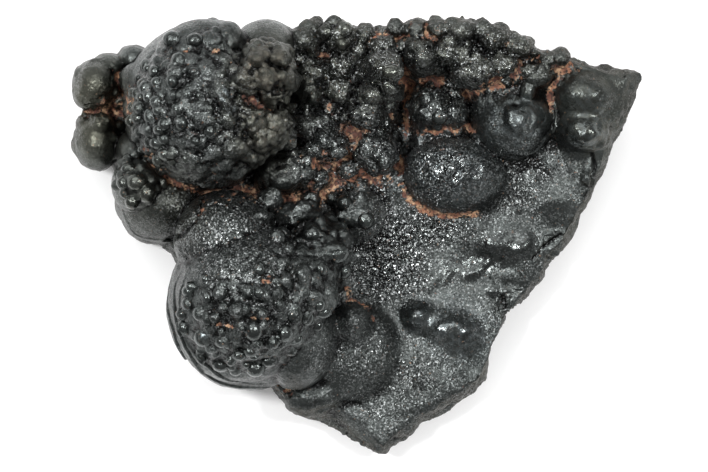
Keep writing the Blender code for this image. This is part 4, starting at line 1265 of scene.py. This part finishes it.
def speckle(tree, size, detail=2.0):
    """Smooth noise of a size in millimetres, from 0 to 1."""
    made = node(tree, "TexNoise")
    tree.links.new(place(tree), made.inputs["Vector"])
    made.inputs["Scale"].default_value = 1.0 / (size * MM)
    made.inputs["Detail"].default_value = detail
    return made.outputs["Fac"]


def crystal_cells(tree, size):
    """Cells of a size in millimetres, each with its own random colour."""
    made = node(tree, "TexVoronoi", feature="F1")
    tree.links.new(place(tree), made.inputs["Vector"])
    made.inputs["Scale"].default_value = 1.0 / (size * MM)
    return made.outputs["Color"]


def faceted_normal(tree, cells, amount, base):
    """Tilts the normal of each cell its own way, like the faces of tiny crystals."""
    centred = node(tree, "VectorMath", operation="SUBTRACT")
    tree.links.new(cells, centred.inputs[0])
    centred.inputs[1].default_value = (0.5, 0.5, 0.5)
    tilt = node(tree, "VectorMath", operation="SCALE")
    tree.links.new(centred.outputs[0], tilt.inputs[0])
    connect(tree, amount, tilt.inputs["Scale"])
    total = node(tree, "VectorMath", operation="ADD")
    tree.links.new(base, total.inputs[0])
    tree.links.new(tilt.outputs[0], total.inputs[1])
    unit = node(tree, "VectorMath", operation="NORMALIZE")
    tree.links.new(total.outputs[0], unit.inputs[0])
    return unit.outputs[0]


# Tones of the ore and of its rust
BLACK = (0.064, 0.070, 0.067)
STEEL = (0.102, 0.114, 0.112)
OLIVE = (0.038, 0.036, 0.026)
WARM_BLACK = (0.074, 0.071, 0.048)
# DARK is the tone of dull ore, and of the painted shade on some dome flanks and lumps
DARK = (0.030, 0.034, 0.033)
FROSTED = (0.090, 0.083, 0.068)
# PALE is the tone of the pale bluish spots, and of the painted light on some domes
PALE = (0.190, 0.220, 0.230)
# PIT is the near black of the dark clouds, and of the painted shade in hollows, cracks and the
# crust's gaps
PIT = (0.004, 0.004, 0.004)
CRYSTAL = (0.44, 0.46, 0.46)
RUST_RED = (0.095, 0.036, 0.024)
RUST_ORANGE = (0.230, 0.100, 0.055)
RUST_TAN = (0.380, 0.240, 0.145)
RUST_DARK = (0.026, 0.016, 0.012)
METAL_SHARE = 0.93        # the rest scatters light as a powder does

# Steel grey in the black: size of the patches, and how much of it there is
STEEL_PATCHES = 2.4
STEEL_SHARE = 0.7

# What tinges the stone, and the painted shade where it is dull: the skin's mark, how much of the
# tone it brings, the tone
TINGES = (("warm", 0.6, WARM_BLACK), ("dull_and_painted_shade", 0.7, DARK), ("broken", 0.85, OLIVE))

# Dark clouds: size, then the noise mapped from low..high to least..most
CLOUDS = 6.0
CLOUD_RANGE = (0.40, 0.65, 0.0, 0.45)

# Patchy tones, the pale one partly painted light on domes: the skin's mark, size of the patches,
# low and high of their noise, the tone
PATCHES = (("frost", 1.1, (0.35, 0.65), FROSTED), ("bloom_and_painted_light", 0.9, (0.4, 0.6), PALE))

# Painted shade in hollows and cracks, and the crust's random grains: painted shade in the gaps
# above one value, painted glints above another
HOLLOW_SHADE_RANGE = (0.53, 0.84)
HOLLOW_SHADE_DARKNESS = 0.92
GRAIN_SIZE = 0.23
GAP_SHADE_RANGE = (0.32, 0.38)
GAP_SHADE_DARKNESS = 0.95
GLINT_RANGE = (0.78, 0.82)
GLINT_BRIGHT = 0.8

# Rust: its ragged edge, then tones over red: size, detail, low and high of the noise, tone
RUST_RAGGED = (0.5, 1.8)
RUST_RANGE = (0.28, 0.56)
EARTHS = (
    (2.2, 2.0, (0.42, 0.58), RUST_ORANGE),
    (1.1, 4.0, (0.48, 0.62), RUST_TAN),
    (0.40, 4.0, (0.50, 0.62), RUST_DARK),
)

# Roughness of the stone, and what each mark adds to it
ROUGH_PATCHES = 0.8
ROUGH_RANGE = (0.3, 0.7, 0.31, 0.46)
ROUGHER = (
    ("druse", -0.10), ("sleek", -0.20), ("knobbly", -0.08), ("broken", 0.12), ("frost", 0.25),
)
RUST_ROUGHER = 0.5

# Pores and tiny crystal faces
PORE_SIZE = 0.65
PORE_DEPTH = 0.26
PORES_LEAST = 0.35        # where the growth isn't knobbly
FACET_SIZE = 0.19
FACET_PATCHES = 3.0
FACET_RANGE = (0.35, 0.65, 0.22, 0.46)
DRUSE_FACETS = 0.75
KNOBBLY_CALM = 0.5
CALM_SHARE = 0.88         # how much of the facets a glossy place loses


def scaled(tree, value, factor):
    return calc(tree, "MULTIPLY", value, factor)


def bare_stone(tree):
    """Black to steel grey ore: tinged, darker where dull and with painted shade on some flanks,
    clouded, frosted, and paler with bluish spots, bloom and painted light on some domes.
    """
    share = scaled(tree, speckle(tree, STEEL_PATCHES), STEEL_SHARE)
    stone = mixed(tree, share, BLACK, STEEL)
    for mark, share, tone in TINGES:
        stone = mixed(tree, scaled(tree, attribute(tree, mark), share), stone, tone)
    clouds = ranged(tree, speckle(tree, CLOUDS, 3.0), *CLOUD_RANGE)
    stone = mixed(tree, clouds, stone, PIT)
    for mark, size, span, tone in PATCHES:
        patches = ranged(tree, speckle(tree, size), *span)
        share = calc(tree, "MULTIPLY", attribute(tree, mark), patches)
        stone = mixed(tree, share, stone, tone)
    return stone


def crusted_stone(tree, stone):
    """The stone with painted shade in its hollows and cracks, and the crust's gaps of painted
    shade and its painted glints.
    """
    # Painted shade: the colour darkens towards PIT in hollows and cracks
    painted_hollow_shade = scaled(tree, ranged(tree, attribute(tree, "hollow_shade"), *HOLLOW_SHADE_RANGE), HOLLOW_SHADE_DARKNESS)
    stone = mixed(tree, painted_hollow_shade, stone, PIT)
    druse = attribute(tree, "druse")
    grain = node(tree, "SeparateColor")
    tree.links.new(crystal_cells(tree, GRAIN_SIZE), grain.inputs[0])
    # Painted shade in the crust's gaps between grains, and painted glints on some of its grains
    gap_shade = calc(tree, "MULTIPLY", ranged(tree, grain.outputs[2], *GAP_SHADE_RANGE), druse)
    stone = mixed(tree, scaled(tree, gap_shade, GAP_SHADE_DARKNESS), stone, PIT)
    glint = calc(tree, "MULTIPLY", ranged(tree, grain.outputs[1], *GLINT_RANGE), druse)
    return mixed(tree, scaled(tree, glint, GLINT_BRIGHT), stone, CRYSTAL)


def rust_share(tree):
    """Where rust covers the stone, with a ragged edge."""
    size, height = RUST_RAGGED
    ragged = scaled(tree, calc(tree, "SUBTRACT", speckle(tree, size, 5.0), 0.5), height)
    return ranged(tree, calc(tree, "ADD", attribute(tree, "rust"), ragged), *RUST_RANGE)


def earth(tree):
    """The rust's own mix of red, orange, tan and dark brown."""
    tone = RUST_RED
    for size, detail, span, other in EARTHS:
        tone = mixed(tree, ranged(tree, speckle(tree, size, detail), *span), tone, other)
    return tone


def roughness(tree, rust):
    rough = ranged(tree, speckle(tree, ROUGH_PATCHES), *ROUGH_RANGE)
    for mark, change in ROUGHER:
        rough = calc(tree, "ADD", rough, scaled(tree, attribute(tree, mark), change))
    return calc(tree, "ADD", rough, scaled(tree, rust, RUST_ROUGHER), clamp=True)


def grainy_normal(tree):
    """Pores and tiny crystal faces, calmer where the skin is glossy or knobbly."""
    knobbly = attribute(tree, "knobbly")
    bump = node(tree, "Bump")
    bump.inputs["Strength"].default_value = 1.0
    bump.inputs["Distance"].default_value = PORE_DEPTH * MM
    grainy = ranged(tree, knobbly, 0.0, 1.0, PORES_LEAST, 1.0)
    pores = calc(tree, "MULTIPLY", speckle(tree, PORE_SIZE, 6.0), grainy)
    tree.links.new(pores, bump.inputs["Height"])
    patchy = ranged(tree, speckle(tree, FACET_PATCHES), *FACET_RANGE)
    facets = calc(tree, "ADD", scaled(tree, attribute(tree, "druse"), DRUSE_FACETS), patchy)
    knobs = scaled(tree, knobbly, KNOBBLY_CALM)
    calm = calc(tree, "MAXIMUM", attribute(tree, "sleek"), knobs)
    left = calc(tree, "SUBTRACT", 1.0, scaled(tree, calm, CALM_SHARE))
    amount = calc(tree, "MULTIPLY", facets, left)
    return faceted_normal(tree, crystal_cells(tree, FACET_SIZE), amount, bump.outputs[0])


def goethite_material():
    """Black sub-metallic ore, its crust, frost and rust, with painted shade, painted glints and
    painted light, chosen by the skin's marks.
    """
    material, tree, shader = new_material("goethite")
    rust = rust_share(tree)
    stone = crusted_stone(tree, bare_stone(tree))
    connect(tree, mixed(tree, rust, stone, earth(tree)), shader.inputs["Base Color"])
    connect(tree, roughness(tree, rust), shader.inputs["Roughness"])
    connect(tree, grainy_normal(tree), shader.inputs["Normal"])
    bare = calc(tree, "SUBTRACT", 1.0, rust)
    connect(tree, scaled(tree, bare, METAL_SHARE), shader.inputs["Metallic"])
    shader.inputs["IOR"].default_value = 1.5
    return material


def crystal_material():
    """Bright black crystal faces."""
    material, tree, shader = new_material("goethite_crystals")
    tone = mixed(tree, ranged(tree, speckle(tree, 0.9), 0.35, 0.65), STEEL, CRYSTAL)
    rough = ranged(tree, speckle(tree, 0.6), 0.3, 0.7, 0.14, 0.32)
    connect(tree, tone, shader.inputs["Base Color"])
    connect(tree, rough, shader.inputs["Roughness"])
    shader.inputs["Metallic"].default_value = 1.0
    return material


# Druse crystals

def random_turns(draw, count):
    """Rotation matrices that face every way equally often."""
    q = draw.normal(size=(count, 4))
    q /= np.linalg.norm(q, axis=1)[:, None]
    w, x, y, z = q.T
    rows = [
        [1 - 2 * (y * y + z * z), 2 * (x * y - z * w), 2 * (x * z + y * w)],
        [2 * (x * y + z * w), 1 - 2 * (x * x + z * z), 2 * (y * z - x * w)],
        [2 * (x * z - y * w), 2 * (y * z + x * w), 1 - 2 * (x * x + y * y)],
    ]
    return np.array(rows).transpose(2, 0, 1)


def octahedron():
    corners = np.array([
        (1, 0, 0), (-1, 0, 0), (0, 1, 0), (0, -1, 0), (0, 0, 1), (0, 0, -1),
    ], float)
    faces = np.array([
        (0, 2, 4), (2, 1, 4), (1, 3, 4), (3, 0, 4), (2, 0, 5), (1, 2, 5), (3, 1, 5), (0, 3, 5),
    ])
    return corners, faces


def marked(skin, name, triangles):
    """What the skin's mark of that name is on each triangle."""
    values = np.empty(len(skin.vertices), np.float32)
    skin.attributes[name].data.foreach_get("value", values)
    return values[triangles].mean(axis=1)


def crust_share(crust, skin, sower):
    """Where a crust grows: on crusted skin in its area, clear of the rust and of the foot."""
    inside = in_ellipse(crust.area, sower.middles[:, :2] / MM) < 1.0
    clean = marked(skin, "rust", sower.triangles) < CLEAN_RUST
    above = sower.middles[:, 2] > LOWEST_CRYSTAL * MM
    druse = marked(skin, "druse", sower.triangles) * crust.area.strength
    return np.clip(druse * CRUST_GAIN - CRUST_LEAST, 0.0, 1.0) * inside * clean * above


def druse_piece(crust, skin, seed):
    """One crust's small faceted crystals, half sunk in the skin, as one piece."""
    sower = Sower(skin, seed)
    share = crust_share(crust, skin, sower)
    points, normals = sower.places(share * GRAIN_SHARE, crust.spacing, effort=2.0)
    draw = sower.draw
    radii = draw.uniform(crust.small, crust.large, len(points)) * MM
    stretch = draw.uniform(*CRYSTAL_UNEVEN, (len(points), 3)) * radii[:, None]
    matrices = random_turns(draw, len(points)) * stretch[:, None, :]
    sunk = points - normals * radii[:, None] * CRYSTAL_SINK
    piece = linked(crust.name, mesh_from(crust.name, *copies(octahedron(), matrices, sunk)))
    piece.data.materials.append(crystal_material())
    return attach(piece, "root")


# The scene

def grown_skin():
    """The whole fine skin, as one closed mesh, and the caps of its proud nodules."""
    rock = joined([slab(), lobes()])
    base = fused(*rock, BASE_STEP, BASE_ROUNDS)
    matrices, centres, outward, proud = nodules(base)
    dense = joined([rock, copies(ball(NODULE_FINENESS), matrices, centres)])
    skin = fused(*dense, SKIN_STEP, NODULE_ROUNDS)
    skin = softened(skin, FILLETS, FILLET_ROUNDS)
    skin = softened(skin, MELTED, MELT_ROUNDS)
    roughened(skin)
    cut_foot(skin)
    skin = thinned(skin, SKIN_FACES)
    shift = seated(skin)
    skin.shade_smooth()
    skin.name = "goethite_skin"
    moved = centres + outward * relief(centres, outward)[:, None]
    moved += shift - np.array([0.0, 0.0, FOOT_CUT * MM])
    radii = np.linalg.norm(matrices, axis=(1, 2))[:, None] / math.sqrt(3.0)
    moved -= outward * radii * CAP_SINK
    caps = copies(ball(CAP_FINENESS), matrices[proud] * CAP_SIZE, moved[proud])
    return skin, mesh_from("nodule_caps", *caps)


def add_stone():
    """The skin in place of the solid, with the caps of its proud nodules."""
    skin, caps = grown_skin()
    mark_skin(skin)
    caps.shade_smooth()
    stored(caps, "sleek", np.ones(len(caps.vertices)))
    stored(caps, "knobbly", np.full(len(caps.vertices), CAP_KNOBBLY))
    stored(caps, "warm", strength(WARM, corners_of(caps)[:, :2] / MM))
    surface = goethite_material()
    for mesh in (skin, caps):
        mesh.materials.append(surface)
        piece = linked(mesh.name, mesh)
        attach(piece, "root")
    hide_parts("goethite")
    return skin


def add_druse(skin):
    """Sows each crust on the skin."""
    for index, crust in enumerate(CRUSTS):
        druse_piece(crust, skin, SEED + index)


# The studio, in metres and watts
WHITE = (1.0, 1.0, 1.0, 1.0)
FLOOR_REACH = 1.2
FLOOR_TONE = 0.92
FLOOR_GLOW = 0.08
WORLD_LIGHT = 0.42
PIECE_MIDDLE = 0.015      # height that the lamps look at
LAMPS = (
    ("box_left", (-0.42, 0.10, 0.78), (0.12, 0.18), 5.0),
    ("box_right", (0.42, 0.10, 0.78), (0.12, 0.18), 4.4),
    ("box_back", (-0.20, 0.72, 0.80), (1.30, 0.50), 6.0),
    ("overhead", (0.0, 0.35, 1.60), (2.30, 2.00), 5.8),
)


def add_floor():
    """A matt white table that glows a little, as one lit from below does."""
    far = FLOOR_REACH
    mesh = bpy.data.meshes.new("floor")
    corners = [(-far, -far, 0), (far, -far, 0), (far, far, 0), (-far, far, 0)]
    mesh.from_pydata(corners, [], [(0, 1, 2, 3)])
    floor = linked("floor", mesh)
    material, _, shader = new_material("white_floor")
    shader.inputs["Base Color"].default_value = (FLOOR_TONE, FLOOR_TONE, FLOOR_TONE, 1.0)
    shader.inputs["Roughness"].default_value = 0.9
    shader.inputs["Specular IOR Level"].default_value = 0.1
    shader.inputs["Emission Color"].default_value = WHITE
    shader.inputs["Emission Strength"].default_value = FLOOR_GLOW
    mesh.materials.append(material)


def add_lamp(name, at, size, power):
    """A soft box that looks at the middle of the piece."""
    data = bpy.data.lights.new(name, "AREA")
    data.shape = "RECTANGLE"
    data.size, data.size_y = size
    data.energy = power
    lamp = bpy.data.objects.new(name, data)
    lamp.location = at
    towards = Vector((0.0, 0.0, PIECE_MIDDLE)) - lamp.location
    lamp.rotation_euler = towards.to_track_quat("-Z", "Y").to_euler()
    bpy.context.scene.collection.objects.link(lamp)


def add_light():
    world = bpy.data.worlds.new("studio")
    world.use_nodes = True
    background = world.node_tree.nodes["Background"]
    background.inputs["Color"].default_value = WHITE
    background.inputs["Strength"].default_value = WORLD_LIGHT
    bpy.context.scene.world = world
    for lamp in LAMPS:
        add_lamp(*lamp)


def add_camera():
    data = bpy.data.cameras.new("camera")
    data.sensor_width = 36.0
    data.lens = data.sensor_width * CAMERA_HEIGHT / (IMAGE_WIDTH * PIXEL)
    data.clip_end = 10.0
    camera = bpy.data.objects.new("camera", data)
    x, y = PICTURE_MIDDLE
    camera.location = (x * MM, y * MM, (CAMERA_HEIGHT + FOCUS_HEIGHT) * MM)
    bpy.context.scene.collection.objects.link(camera)
    bpy.context.scene.camera = camera


add_camera()
add_floor()
add_light()
add_druse(add_stone())

bpy.context.scene.view_settings.view_transform = "Standard"
